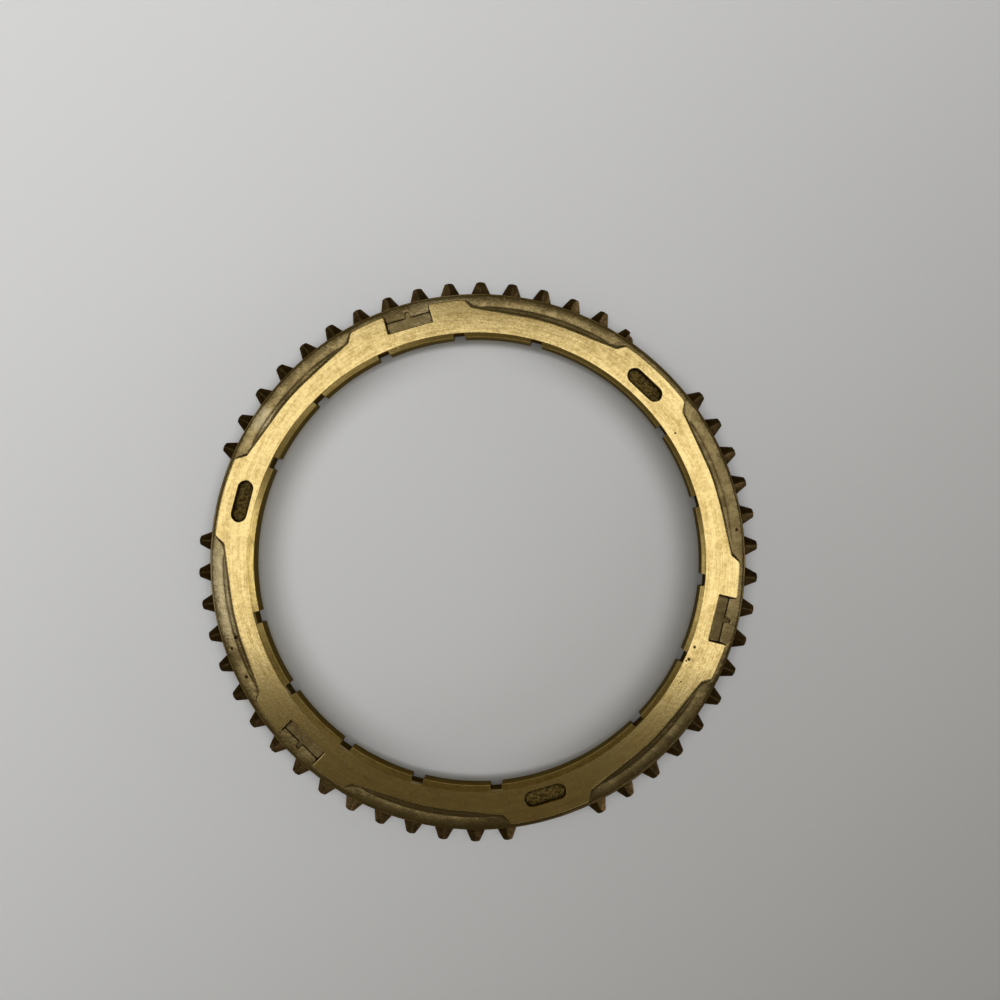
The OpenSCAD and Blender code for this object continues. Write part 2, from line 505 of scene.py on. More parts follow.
@dataclass
class RingSkin:
    """The ring's visible surface: one closed grid of columns round the axis and rows across the section.

    Sizes that end in share are parts of another size. The shares of columns go to progress round the axis, to
    length and to turning, and the rolls are those of outward and inward corners.
    """

    tip_r: float
    height: float
    tooth_h: float = 3.95
    rim_h: float = 9.3
    rim_edge_r: float = 0.8
    rim_edge_step: float = 0.02
    rim_crown: float = 0.17
    crest_share: float = 0.33
    crease_share: float = 0.63
    crease_depth: float = 0.035
    crease_w: float = 0.12
    crease_clear: tuple[float, float] = (0.9, 0.2)
    crease_push: float = 0.42
    crease_half_w: tuple[float, float] = (0.16, 0.05)
    forge_swell: float = 0.024
    forge_grain: float = 0.007
    forge_most: float = 0.06
    forge_reach: float = 0.3
    rim_slope: float = 0.05
    recess_w: float = 5.1
    face_w: float = 4.75
    mouth_chamfer: float = 1.1
    mouth_drift: float = 0.27
    mouth_drift_side: float = 225.0
    throat_chamfer: float = 0.5
    cone_angle: float = 6.5
    pad_margin: float = 2.0
    pad_foot_rise: float = 1.2
    pad_end_angle: float = 1.6
    lug_top_half: float = 8.8
    lug_drifts: tuple[tuple[float, float], ...] = ((180.0, 0.45), (300.0, 0.48))
    drift_fade: tuple[float, float] = (1.2, 0.6)
    shoulder_top_half: float = 13.2
    narrow_fillet: float = 0.38
    pad_fillet: float = 0.36
    foot_turn: float = 0.1
    foot_spread: float = 1.6
    edge_rolls: tuple[float, float] = (0.36, 0.12)
    foot_roll: float = 0.3
    edge_shares: tuple[float, float, float] = (0.4, 0.3, 0.3)
    middle_share: float = 0.436
    middle_near: float = 1.7
    middle_turns: tuple[float, float] = (5.6, 9.5)
    mouth_share: float = 0.6
    slot_w: float = 11.2
    slot_depth: float = 6.6
    slot_fillet: float = 0.16
    slot_reach: float = 8.0
    slot_slack: float = 0.02
    channel_w: float = 3.0
    channel_depth: float = 0.7
    channel_soft: float = 0.09
    channel_fade: float = 1.0
    channel_taper: float = 0.965
    channel_half_w: float = 0.05
    # Painted shade in the slot's channel
    channel_shade: float = 0.5
    notch_w: float = 1.1
    notch_l: float = 1.4
    notch_soft: float = 0.13
    pocket_l: float = 10.2
    pocket_w: float = 3.8
    pocket_depth: float = 1.1
    pocket_inset: float = 4.6
    pocket_draft: float = 0.34
    pocket_lump: float = 0.2
    pocket_border: float = 0.1
    groove_w: float = 2.9
    groove_depth: float = 1.1
    groove_start: float = 8.6
    groove_pitch: float = 20.0
    groove_places: int = 6
    groove_left_out: int = 3
    groove_floor_share: float = 0.46
    groove_roll: float = 0.09
    # Painted shade in the oil grooves
    groove_shade: float = 0.75
    bore_shares: tuple[float, float, float] = (0.45, 0.2, 0.35)
    tooth_pitch: float = 6.6667
    tooth_root_w: float = 6.1
    tooth_tip_w: float = 2.1
    tooth_ridge_h: float = 4.6
    tooth_ridge_soft: float = 0.09
    tooth_roof_angle: float = 35.0
    tooth_edge_r: float = 0.16
    tooth_rolls: tuple[float, float] = (0.19, 0.11)
    tooth_shares: tuple[float, float, float] = (0.32, 0.26, 0.30)
    tooth_ridge_share: float = 0.12
    tooth_ridge_w: float = 0.16
    tooth_flat_reach: float = 0.3
    tooth_gap_drop: float = 0.6
    break_rough: float = 0.1
    back_radii: tuple[float, float] = (60.6, 57.0)
    face_edge_r: float = 0.16
    face_edge_turn: float = 0.3
    face_border: float = 0.27
    face_uneven: float = 0.012
    mouth_border: float = 0.12
    sharp_angle: float = 50.0
    chipped_slot: float = 120.0
    chipped_place: float = -50.0
    columns: ColumnPlan = field(default_factory=ColumnPlan)

    def __post_init__(self) -> None:
        """Works out the radii that follow from the tooth tip circle."""
        self.rim_r = self.tip_r - self.tooth_h
        self.pad_r = self.rim_r - self.pad_margin
        self.narrow_r = self.rim_r - self.recess_w
        self.foot_r = self.narrow_r + self.pad_foot_rise
        self.face_r = self.narrow_r - self.face_w
        self.cone_r = self.face_r - self.mouth_chamfer
        self.mouth_z = self.height - self.mouth_chamfer
        self.slot_wall_x = self.rim_r - self.slot_depth
        self.channel_x = self.slot_wall_x + self.channel_w
        self.crest_r = self.rim_r - self.crest_share * self.recess_w
        self.crease_r = self.rim_r - self.crease_share * self.recess_w
        self.channel_z = self.rim_h - self.channel_depth
        self.pocket_r = self.pad_r - self.pocket_inset
        self.edge_start_r = self.rim_r - self.rim_edge_r
        self.top_r = self.edge_start_r - self.rim_edge_step
        self.rim_waves = Ripple(seed=5, shortest=5.0, longest=22.0)
        self.forge_waves = Ripple(seed=11, shortest=1.6, longest=6.0)
        self.pocket_lumps = Ripple(seed=23, shortest=0.9, longest=2.2)
        self.break_waves = Ripple(seed=31, shortest=0.5, longest=1.6)

    def cone_at(self, z: float | Array) -> float | Array:
        """Radius of the friction cone at a height: it opens towards the gear side."""
        return self.cone_r + (self.mouth_z - z) * math.tan(math.radians(self.cone_angle))

    def mouth_out(self, angle: Array) -> Array:
        """How far the mouth chamfer lies outside its plain circle, as it was turned a little off the axis.

        It is the drift times the cosine of the angle from the side that the chamfer drifts to.

        Args:
            angle: Angles in the frame.

        Returns:
            One distance per angle.
        """
        return self.mouth_drift * np.cos(np.radians(angle - PHOTO_TURN - self.mouth_drift_side))

    def drifted(self, points: Array, slot: float) -> Array:
        """Points of the face's edge or foot, moved out at the lugs whose pads were milled further out.

        Each lug's drift fades by a soft step over the slanted ends of its pad.

        Args:
            points: Plan points of a third, its slot on the +X axis.
            slot: Angle of that slot in the frame.

        Returns:
            The moved points.
        """
        angle = bearing(points) + slot
        fade_end = self.lug_top_half + self.drift_fade[0]
        fade_start = self.lug_top_half - self.drift_fade[1]
        out = np.zeros(len(points))
        for lug, drift in self.lug_drifts:
            apart = np.abs((angle - lug + 180.0) % 360.0 - 180.0)
            out = out + drift * eased(apart, fade_end, fade_start)
        return points + polar(out, bearing(points))

    def rim_z(self, radius: Array) -> Array:
        """Height of the rim's top at a radius.

        It falls by a parabola outside its crest, dips by a Gaussian at its crease, and slopes up to the wall
        inside the crease.

        Args:
            radius: Distances from the axis.

        Returns:
            One height per distance.
        """
        half = self.rim_r - self.crest_r
        crown = self.rim_crown * (np.maximum(radius - self.crest_r, 0.0) / half) ** 2
        line = self.crease_depth * np.exp(-(((radius - self.crease_r) / self.crease_w) ** 2))
        slope = self.rim_slope * np.maximum(self.crease_r - np.maximum(radius, self.narrow_r), 0.0)
        return self.rim_h - crown - line + slope

    def edge_outline(self) -> FaceOutline:
        """The raised face's edge.

        Returns:
            Its outline.
        """
        return FaceOutline(
            wall_x=self.slot_wall_x,
            slot_half=self.slot_w / 2,
            pad_r=self.pad_r,
            narrow_r=self.narrow_r,
            foot_r=self.foot_r,
            shoulder_top=self.shoulder_top_half,
            shoulder_foot=self.shoulder_top_half + self.pad_end_angle,
            lug_top=self.lug_top_half,
            lug_foot=self.lug_top_half + self.pad_end_angle,
        )

    def foot_outline(self) -> FaceOutline:
        """The foot of the wall under that edge, further out by the fillets.

        Returns:
            Its outline.
        """
        end_shift = math.degrees(self.pad_fillet / self.pad_r) + self.foot_turn
        fillet_gap = 0.5 * (self.narrow_fillet + self.pad_fillet)
        return FaceOutline(
            wall_x=self.slot_wall_x + self.slot_fillet,
            slot_half=self.slot_w / 2 - self.slot_fillet,
            pad_r=self.pad_r + self.pad_fillet,
            narrow_r=self.narrow_r + self.narrow_fillet,
            foot_r=self.foot_r + fillet_gap,
            shoulder_top=self.shoulder_top_half + end_shift,
            shoulder_foot=self.shoulder_top_half + self.pad_end_angle + self.foot_spread * end_shift,
            lug_top=self.lug_top_half + end_shift,
            lug_foot=self.lug_top_half + self.pad_end_angle + self.foot_spread * end_shift,
        )

    def middle_line(self, counts: Sequence[int], edge: Array) -> Array:
        """Middle line of the raised face from the slot's middle to the lug's middle.

        It keeps to the side of the slot that its column belongs to, so that no strip of the face bridges a
        slot: its angle runs to the first of its two turns under the slot's inner wall, and to the second
        under the slot's side wall.

        Args:
            counts: How many traced points each stretch of the edge has.
            edge: The traced half edge.

        Returns:
            One point per traced point.
        """
        angle = bearing(edge)
        marks = np.concatenate(([0], np.cumsum(counts)))
        index = np.arange(len(edge), dtype=float)
        guided = np.interp(index, marks[:4], (0.0, *self.middle_turns, self.shoulder_top_half))
        angle = np.where(index < marks[3], guided, angle)
        plain = self.face_r + self.middle_share * (reach(edge) - self.face_r)
        near = self.face_r + self.middle_near
        pad_level = self.face_r + self.middle_share * (self.pad_r - self.face_r)
        rise = eased(index, float(marks[2]), float(marks[3]))
        radius = np.where(index < marks[3], near + (pad_level - near) * rise, plain)
        return polar(radius, angle)

    def tooth_stretches(self, chipped: bool) -> list[Stretch]:
        """Outline of one tooth with half a gap on either side, its middle on the +X axis.

        Args:
            chipped: Whether the flank that faces the lug is broken off.

        Returns:
            Stretches from gap to gap, counter-clockwise.
        """
        half_pitch = self.tooth_pitch / 2
        root = math.degrees(math.asin(self.tooth_root_w / 2 / self.rim_r))
        tip = math.degrees(math.asin(self.tooth_tip_w / 2 / self.tip_r))
        low = Arc(self.rim_r, -half_pitch, -root)
        high = Arc(self.rim_r, root, half_pitch)
        if not chipped:
            rising = Straight(polar(self.rim_r, -root), polar(self.tip_r, -tip))
            falling = Straight(polar(self.tip_r, tip), polar(self.rim_r, root))
            return [low, rising, Arc(self.tip_r, -tip, tip), falling, high]
        corners = [polar(self.rim_r, -root), *(np.array((self.rim_r + x, y)) for x, y in BREAK_CORNERS)]
        broken = [Straight(a, b) for a, b in zip(corners, corners[1:])]
        return [low, *broken, Straight(corners[-1], polar(self.rim_r, root)), high]

    def roof_height(self, offset: Array) -> Array:
        """Height of a tooth's roof at a distance from its ridge: the ridge less the slope, softly rounded."""
        soft = self.tooth_ridge_soft
        fall = np.sqrt(np.minimum(offset, self.tooth_root_w / 2) ** 2 + soft**2) - soft
        return self.tooth_ridge_h - fall * math.tan(math.radians(self.tooth_roof_angle))

    def tooth_columns(self, slot: float) -> dict[str, Array]:
        """The tooth outline of a third and what its columns need from it.

        Args:
            slot: Angle of the third's slot.

        Returns:
            The fields of Columns that belong to the teeth.
        """
        first = -HALF_THIRD + 1.5 * self.tooth_pitch
        last = HALF_THIRD - 1.5 * self.tooth_pitch
        angles = np.linspace(first, last, round((last - first) / self.tooth_pitch) + 1)
        gap = first - self.tooth_pitch / 2
        lug_ends = ((-HALF_THIRD, gap), (-gap, HALF_THIRD))
        bare = [trace([arc], trace_counts([arc])) for arc in (Arc(self.rim_r, *ends) for ends in lug_ends)]
        plans = [bare[0]]
        owners = [np.full(len(bare[0]), -HALF_THIRD)]
        broken = [np.zeros(len(bare[0]))]
        for angle in angles:
            chipped = slot == self.chipped_slot and abs(angle - self.chipped_place) < 0.1
            stretches = self.tooth_stretches(chipped)
            counts = trace_counts(stretches)
            plan = trace(stretches, counts)
            mask = np.zeros(len(plan))
            if chipped:
                mask[sum(counts[:2]) : sum(counts[:-2])] = 1.0
            plans.append(turned(plan, angle))
            owners.append(np.full(len(plan), angle))
            broken.append(mask)
        plans.append(bare[1])
        owners.append(np.full(len(bare[1]), HALF_THIRD))
        broken.append(np.zeros(len(bare[1])))
        plan = rounded(np.concatenate(plans), *self.tooth_rolls)
        owner = np.concatenate(owners)
        local = turned(plan, -owner)
        offset = np.where(np.abs(owner) < HALF_THIRD, np.abs(local[:, 1]), self.tooth_root_w / 2)
        root_angle = owner + np.degrees(np.arcsin(np.clip(local[:, 1] / self.rim_r, -1.0, 1.0)))
        weight = column_weight(plan, root_angle, self.tooth_shares)
        ridge = np.exp(-((offset / self.tooth_ridge_w) ** 2))
        weight = weight + self.tooth_ridge_share * ridge / ridge.sum()
        places = self.columns.places(root_angle, weight)
        normal = outward(plan)
        at_root = polar(self.rim_r, root_angle)
        stand = np.maximum(reach(plan) - self.rim_r, 0.0) * (reach(plan - at_root) > 0)
        return {
            "tooth": picked(plan, places, turned(plan[0], THIRD)),
            "tooth_normal": picked(normal, places, turned(normal[0], THIRD)),
            "root_angle": picked(root_angle, places, HALF_THIRD),
            "roof_z": picked(self.roof_height(offset), places, self.roof_height(offset[:1])[0]),
            "stand": picked(stand, places, stand[0]),
            "broken": picked(np.concatenate(broken), places, 0.0),
        }

    def bore_columns(self) -> tuple[Array, Array]:
        """The bore's columns in one third: a circle with a drafted groove at each kept place.

        Returns:
            The columns' angles, and the groove's depth at each.
        """
        base_r = self.cone_at(self.height / 2)
        half = math.degrees(math.asin(self.groove_w / 2 / base_r))
        kept = [k for k in range(self.groove_places) if k != self.groove_left_out]
        places = [self.groove_start + k * self.groove_pitch for k in kept]
        angles = sorted(((a + HALF_THIRD) % THIRD) - HALF_THIRD for a in places)
        inner_x = math.sqrt(base_r**2 - (self.groove_w / 2) ** 2)
        floor_x = base_r + self.groove_depth
        stretches: list[Stretch] = []
        start = -HALF_THIRD
        for angle in angles:
            corners = np.array(
                (
                    (inner_x, -self.groove_w / 2),
                    (floor_x, -self.groove_floor_share * self.groove_w),
                    (floor_x, self.groove_floor_share * self.groove_w),
                    (inner_x, self.groove_w / 2),
                )
            )
            corners = turned(corners, angle)
            stretches.append(Arc(base_r, start, angle - half))
            stretches.extend(Straight(a, b) for a, b in zip(corners, corners[1:]))
            start = angle + half
        stretches.append(Arc(base_r, start, HALF_THIRD))
        plan = rolled(trace(stretches, trace_counts(stretches)), self.groove_roll)
        angle = bearing(plan)
        angle[0] = -HALF_THIRD
        weight = column_weight(plan, angle, self.bore_shares)
        where = self.columns.places(angle, weight)
        depth = np.maximum(reach(plan) - base_r, 0.0)
        return picked(angle, where, HALF_THIRD), picked(depth, where, depth[0])

    def third(self, slot: float) -> Columns:
        """All the columns of one third.

        Args:
            slot: Angle of the third's slot.

        Returns:
            The columns, with the slot on the +X axis.
        """
        edge_half = self.edge_outline().half()
        counts = trace_counts(edge_half)
        half = trace(edge_half, counts)
        foot_half = trace(self.foot_outline().half(), counts)
        middle_half = self.middle_line(counts, half)
        end_edge = polar(self.pad_r, HALF_THIRD)
        end_foot = polar(self.pad_r + self.pad_fillet, HALF_THIRD)
        end_middle = polar(reach(middle_half[-1]), HALF_THIRD)
        edge = rounded(mirrored_third(half, end_edge), *self.edge_rolls)
        foot = rolled(mirrored_third(foot_half, end_foot), self.foot_roll)
        middle = rolled(mirrored_third(middle_half, end_middle), self.foot_roll)
        normal = outward(edge)
        angle = bearing(edge)
        angle[0] = -HALF_THIRD
        weight = column_weight(edge, angle, self.edge_shares)
        weight = weight + self.extra_columns(edge, angle)
        places = self.columns.places(np.maximum.accumulate(angle), weight)
        bore_angle, bore_out = self.bore_columns()
        middle_at = picked(middle, places, turned(middle[0], THIRD))
        return Columns(
            base=slot,
            bore_angle=bore_angle,
            mouth_angle=bore_angle + self.mouth_share * (bearing(middle_at) - bore_angle),
            bore_out=bore_out,
            edge=self.drifted(picked(edge, places, turned(edge[0], THIRD)), slot),
            edge_normal=picked(normal, places, turned(normal[0], THIRD)),
            foot=self.drifted(picked(foot, places, turned(foot[0], THIRD)), slot),
            middle=middle_at,
            **self.tooth_columns(slot),
        )

    def extra_columns(self, edge: Array, angle: Array) -> Array:
        """More columns at the notch in the slot and at the round ends of the pockets.

        Args:
            edge: Traced points of the face's edge.
            angle: Their angles.

        Returns:
            Weight to add for each traced point.
        """
        wall_band = 0.6
        edge_taper = 0.94
        notch_spread, notch_share = 0.12, 0.05
        end_inset, end_spread, end_share = 0.25, 0.5, 0.10
        in_slot = np.abs(edge[:, 0] - self.slot_wall_x) < wall_band
        aside = np.abs(edge[:, 1]) * edge_taper - self.notch_w / 2
        notch = np.exp(-((aside / notch_spread) ** 2)) * in_slot
        off_lug = HALF_THIRD - np.abs(angle)
        pocket_y = self.pocket_r * np.sin(np.radians(off_lug))
        round_end = np.exp(-(((pocket_y - self.pocket_l / 2 + end_inset) / end_spread) ** 2))
        return notch_share * notch / notch.sum() + end_share * round_end / round_end.sum()

    def pocket_depth_at(self, lug_points: Array) -> Array:
        """Signed distance into the pocket's long oval, for points with the lug on the +X axis."""
        run = self.pocket_l / 2 - self.pocket_w / 2
        along = np.maximum(np.abs(lug_points[..., 1]) - run, 0.0)
        return self.pocket_w / 2 - np.hypot(lug_points[..., 0] - self.pocket_r, along)

    def bore_rows(self, c: Columns) -> list[Row]:
        """Rows up the friction cone and round the mouth chamfer.

        The radius is the cone's plus the groove's depth, or the chamfer's where that is larger.

        Args:
            c: The columns of one third.

        Returns:
            The rows, in order round the section.
        """
        out = self.mouth_out(c.base + c.bore_angle)
        brow = self.mouth_z - out / (1.0 + math.tan(math.radians(self.cone_angle)))
        # Painted shade in the oil grooves, growing with their depth
        deep = self.groove_shade * np.clip(c.bore_out / self.groove_depth, 0.0, 1.0)
        # Height, flare of the throat, finish and wear of each row
        levels = (
            (0.0, self.throat_chamfer, Zone.CONE, 0.4),
            (self.throat_chamfer, 0.0, Zone.CONE, 0.3),
            (3.8, 0.0, Zone.CONE, 0.0),
            (7.1, 0.0, Zone.CONE, 0.0),
            (brow - 0.1, 0.0, Zone.CONE, 0.3),
            (brow + 0.01, 0.0, Zone.MOUTH, 0.4),
            (brow + 0.1, 0.0, Zone.MOUTH, 0.1),
            (self.height - 0.12, 0.0, Zone.MOUTH, 0.0),
        )
        rows = []
        for z, flare, zone, wear in levels:
            run_out = eased(np.asarray(z, float), self.height - 0.3, self.height - 0.13)
            cone = self.cone_at(z) + flare + c.bore_out * (1.0 - run_out)
            chamfer = self.cone_r + (z - self.mouth_z) + out
            radius = np.maximum(cone, chamfer)
            rows.append(self.row(polar(radius, c.bore_angle), z, zone, wear, deep))
        return rows

    @staticmethod
    def row(
        plan: Array,
        height: float | Array,
        zone: Zone,
        wear: float | Array = 0.0,
        grime: float | Array = 0.0,
        crisp: bool = False,
    ) -> Row:
        """A row with single values spread over all its columns.

        Args:
            plan: Plan points of the row.
            height: Its height.
            zone: Finish of the strip above it.
            wear: How worn it is.
            grime: How dark it is painted, mostly as painted shade in hollows and corners.
            crisp: Whether it is an edge that the shading isn't smoothed across.

        Returns:
            The row.
        """
        levels = [np.broadcast_to(np.asarray(value, float), (len(plan),)) for value in (height, wear, grime)]
        return Row(plan, levels[0], zone, levels[1], levels[2], crisp)

    def face_rows(self, c: Columns) -> list[Row]:
        """Rows across the raised face, drawn in to the pocket's oval at the lugs.

        At a lug the rows lie at the oval's half width plus or minus small offsets, along the lug's own axis.
        Heights fall by a parabola of the signed distance into the oval, and lumps lie on the pocket's floor.

        Args:
            c: The columns of one third.

        Returns:
            The rows, in order round the section.
        """
        side = np.where(bearing(c.edge) < 0.0, -HALF_THIRD, HALF_THIRD)
        lug_edge = turned(c.edge, -side)
        at_lug = np.abs(bearing(lug_edge)) < self.tooth_pitch
        lug_y = lug_edge[:, 1] * self.pocket_r / reach(lug_edge)
        lug_middle = turned(np.stack((np.full_like(lug_y, self.pocket_r), lug_y), axis=-1), side)
        middle = np.where(at_lug[:, None], lug_middle, c.middle)
        inner_r = self.face_r + self.mouth_out(c.base + c.mouth_angle)
        inner = polar(inner_r, c.mouth_angle)
        course = np.where(at_lug[:, None], polar(1.0, side), polar(1.0, bearing(middle)))
        run = self.pocket_l / 2 - self.pocket_w / 2
        past = np.maximum(np.abs(lug_y) - run, 0.0)
        oval = np.sqrt(np.maximum((self.pocket_w / 2) ** 2 - past**2, 0.0))
        least_half = 0.5
        half = np.where(at_lug, np.maximum(oval, least_half), least_half)
        draft = self.pocket_draft
        steps = [half + beside for beside in (0.36, 0.03, 0.0)]
        steps += [half - share * draft for share in (0.35, 0.7, 1.0)]
        steps.append(0.5 * (half - draft))
        offsets = [-s for s in steps] + [np.zeros_like(half)] + steps[::-1]
        rows = [
            self.row(inner, self.height, Zone.FACE, crisp=True),
            self.row(polar(inner_r + self.mouth_border, c.mouth_angle), self.height, Zone.FACE),
        ]
        for offset in offsets:
            plan = between(middle, middle + course, offset)
            inside = np.where(at_lug, self.pocket_depth_at(turned(plan, -side)), -1.0)
            sunk = 1.0 - (1.0 - np.clip((inside + 0.01) / draft, 0.0, 1.0)) ** 2
            lumps = self.pocket_lump * self.pocket_lumps.at(turned(plan, c.base)) * eased(inside, 0.2, 0.7)
            wear = 0.3 * np.exp(-((inside / 0.08) ** 2))
            # Painted shade down the pocket's wall, fading to little on its floor
            grime = eased(inside, -0.01, 0.06) * (1.0 - 0.8 * eased(inside, 0.22, 0.5))
            level = self.height - self.pocket_depth * sunk + lumps
            rows.append(self.row(plan, level, Zone.FACE, wear, grime))
        return rows

    def wall_rows(self, c: Columns) -> list[Row]:
        """Rows over the face's edge and down its wall to the recess: a quarter ellipse from edge to foot.

        Args:
            c: The columns of one third.

        Returns:
            The rows, in order round the section.
        """
        edge_r = self.face_edge_r
        bevel = self.face_edge_turn * edge_r
        uneven = self.face_uneven * self.rim_waves.at(turned(c.edge, c.base))
        edge = c.edge + c.edge_normal * uneven[:, None]
        rows = [
            self.row(edge - self.face_border * c.edge_normal, self.height, Zone.FACE, 0.0),
            self.row(edge - edge_r * c.edge_normal, self.height, Zone.FACE, 0.7),
            self.row(edge - bevel * c.edge_normal, self.height - bevel, Zone.RIM, 1.0),
        ]
        foot_z = self.foot_height(c)
        # Painted shade where the wall stands in the slot's channel
        channel = self.channel_shade * self.in_channel(c)
        # Angle down the quarter ellipse, and painted shade of each row
        falls = (0.0, 14.0, 30.0, 47.0, 62.0, 76.0, 90.0)
        wall_shades = (0.5, 0.8, 0.75, 0.4, 0.25, 0.25, 0.25)
        for degrees, grime in zip(falls, wall_shades):
            out = 1.0 - math.cos(math.radians(degrees))
            down = math.sin(math.radians(degrees))
            top = self.height - edge_r
            plan = between(edge, c.foot, out)
            held = np.maximum(grime, channel)
            rows.append(self.row(plan, top + (foot_z - top) * down, Zone.RIM, 0.4 * (degrees == 0), held))
        return rows

    def in_slot(self, c: Columns) -> Array:
        """Whether the wall's foot stands in the slot at each column."""
        beside = np.abs(c.foot[:, 1]) < self.slot_w / 2 + self.slot_slack
        return beside & (np.abs(bearing(c.foot)) < self.slot_reach)

    def in_channel(self, c: Columns) -> Array:
        """1 for columns whose wall stands on the channel's floor, falling to 0 where the side wall leaves."""
        soft = self.channel_soft
        held = eased(c.foot[:, 0], self.channel_x + soft, self.channel_x - soft)
        return np.where(self.in_slot(c), held, 0.0)

    def foot_height(self, c: Columns) -> Array:
        """Height of the wall's foot: the rim's top, or the channel's floor in a slot."""
        rim = self.rim_z(reach(c.foot))
        return rim + (self.channel_z - rim) * self.in_channel(c)

    def crease_line(self, c: Columns) -> CreaseLine:
        """The line along the rim's crease, or along the channel's outer edge and round its notch.

        Where the wall's foot comes near the crease, the line goes over to a share of the way from the foot to
        the rim's edge. Beside the slot it goes over to the channel's edge, both by soft steps.

        Args:
            c: The columns of one third.

        Returns:
            The line, one point per column.
        """
        foot_r = reach(c.foot)
        far, close = self.crease_clear
        past = eased(foot_r, self.crease_r - far, self.crease_r - close)
        pushed_r = foot_r + self.crease_push * (self.top_r - foot_r)
        plain = polar(self.crease_r + (pushed_r - self.crease_r) * past, bearing(c.foot))
        line_y = c.foot[:, 1] * self.channel_taper
        notch_half = self.notch_w / 2
        notch = eased(np.abs(line_y), notch_half + self.notch_soft, notch_half - self.notch_soft)
        line = np.stack((self.channel_x + self.notch_l * notch, line_y), axis=-1)
        held = eased(c.foot[:, 0], self.channel_x + self.channel_fade, self.channel_x)
        leave = np.where(self.in_slot(c), held, 0.0)
        edge = between(plain, line, leave)
        wide, slim = self.crease_half_w
        lip = polar((wide * (1.0 - past) + slim * past) * (1.0 - leave), bearing(edge))
        course = np.gradient(line, axis=0)
        across = np.stack((course[:, 1], -course[:, 0]), axis=-1) / np.maximum(reach(course), TINY)[:, None]
        lip = lip + across * (self.channel_half_w * leave)[:, None]
        return CreaseLine(edge, lip, leave, (1.0 - leave) * (1.0 - past))

    def rim_rows(self, c: Columns) -> list[Row]:
        """Rows over the rim's crowned top, with the slot's channel and its notch, and round the rim's edge.

        Args:
            c: The columns of one third.

        Returns:
            The rows, in order round the section.
        """
        inside = self.in_channel(c)
        floor_z = self.foot_height(c)
        at = self.crease_line(c)
        low = at.edge - at.lip
        step = at.edge - 0.7 * at.lip
        brink = at.edge - 0.2 * at.lip
        high = at.edge + at.lip
        halfway = between(c.foot, low, 0.55)
        halfway_z = self.top_or_floor(halfway, floor_z, inside)
        low_z = self.top_or_floor(low, floor_z, inside)
        climb = self.rim_z(reach(step)) - self.rim_z(reach(low))
        step_z = low_z + 0.06 * at.leave + climb * (1.0 - at.leave)
        brink_z = self.rim_z(reach(brink)) - 0.16 * at.leave
        # Painted shade in the slot's channel, at its outer step and along the rim's crease
        rows = [
            self.row(halfway, halfway_z, Zone.RIM, 0.0, self.channel_shade * inside + 0.25 * at.crease),
            self.row(low, low_z, Zone.RIM, 0.0, at.grime(0.5, 0.35)),
            self.row(step, step_z, Zone.RIM, 0.0, at.grime(0.95, 0.52)),
            self.row(brink, brink_z, Zone.RIM, 0.0, at.grime(0.7, 0.52)),
            self.row(high, self.rim_z(reach(high)), Zone.RIM, 0.3 * at.leave, at.grime(0.0, 0.42)),
        ]
        angle = bearing(at.edge)
        gap = c.root_angle - angle
        half_r = 0.5 * (reach(high) + self.top_r)
        for radius, share in ((half_r, 0.2), (np.full_like(half_r, self.top_r), 0.4)):
            rows.append(self.row(polar(radius, angle + share * gap), self.rim_z(radius), Zone.RIM))
        edge_z = float(self.rim_z(np.array(self.top_r)))
        # Angle round the rim's edge, share of the way to the tooth's own column, and darkening of each row,
        # partly oxide and partly painted shade that hides the lamps' reflection on the edge
        rounds = ((68.0, 0.5, 0.2), (45.0, 0.6, 0.5), (22.0, 0.7, 0.75), (0.0, 0.8, 0.85))
        for degrees, share, grime in rounds:
            r = self.edge_start_r + self.rim_edge_r * math.cos(math.radians(degrees))
            z = edge_z - self.rim_edge_r * (1.0 - math.sin(math.radians(degrees)))
            rows.append(self.row(polar(r, angle + share * gap), z, Zone.RIM, 0.0, grime))
        return rows

    def top_or_floor(self, plan: Array, floor_z: Array, inside: Array) -> Array:
        """Height of the rim's top at plan points, or of the channel's floor for columns inside it."""
        top = self.rim_z(reach(plan))
        return top + (floor_z - top) * inside

    def tooth_rows(self, c: Columns) -> list[Row]:
        """Rows down the rim's outer wall, out over each tooth's roof and down its sides.

        A column keeps its distance from the tooth's middle from the wall out to the tooth's outline. In a gap
        the same rows are spread down the wall, so that none of them fall together.

        Args:
            c: The columns of one third.

        Returns:
            The rows, in order round the section.
        """
        flat = np.clip(1.0 - c.stand / self.tooth_flat_reach, 0.0, 1.0)
        drop = self.tooth_gap_drop * flat
        root = polar(self.rim_r, c.root_angle)
        roof = c.roof_z
        break_wave = self.break_waves.at(turned(c.tooth, c.base))
        tooth = c.tooth + c.tooth_normal * (self.break_rough * break_wave * c.broken)[:, None]
        length = reach(tooth - root)
        ridge = np.exp(-(((self.tooth_ridge_h - roof) / 0.1) ** 2)) * (c.stand > 0.5)
        # Painted shade, deepest in the corner where the tooth's roof meets the rim's wall, light down the
        # tooth's sides
        rows = [
            self.row(root, 7.0, Zone.TEETH, 0.0, 0.2),
            self.row(root, roof + 1.3, Zone.TEETH, 0.0, 0.6),
            self.row(root, roof + 0.35, Zone.TEETH, 0.0, 1.0),
        ]
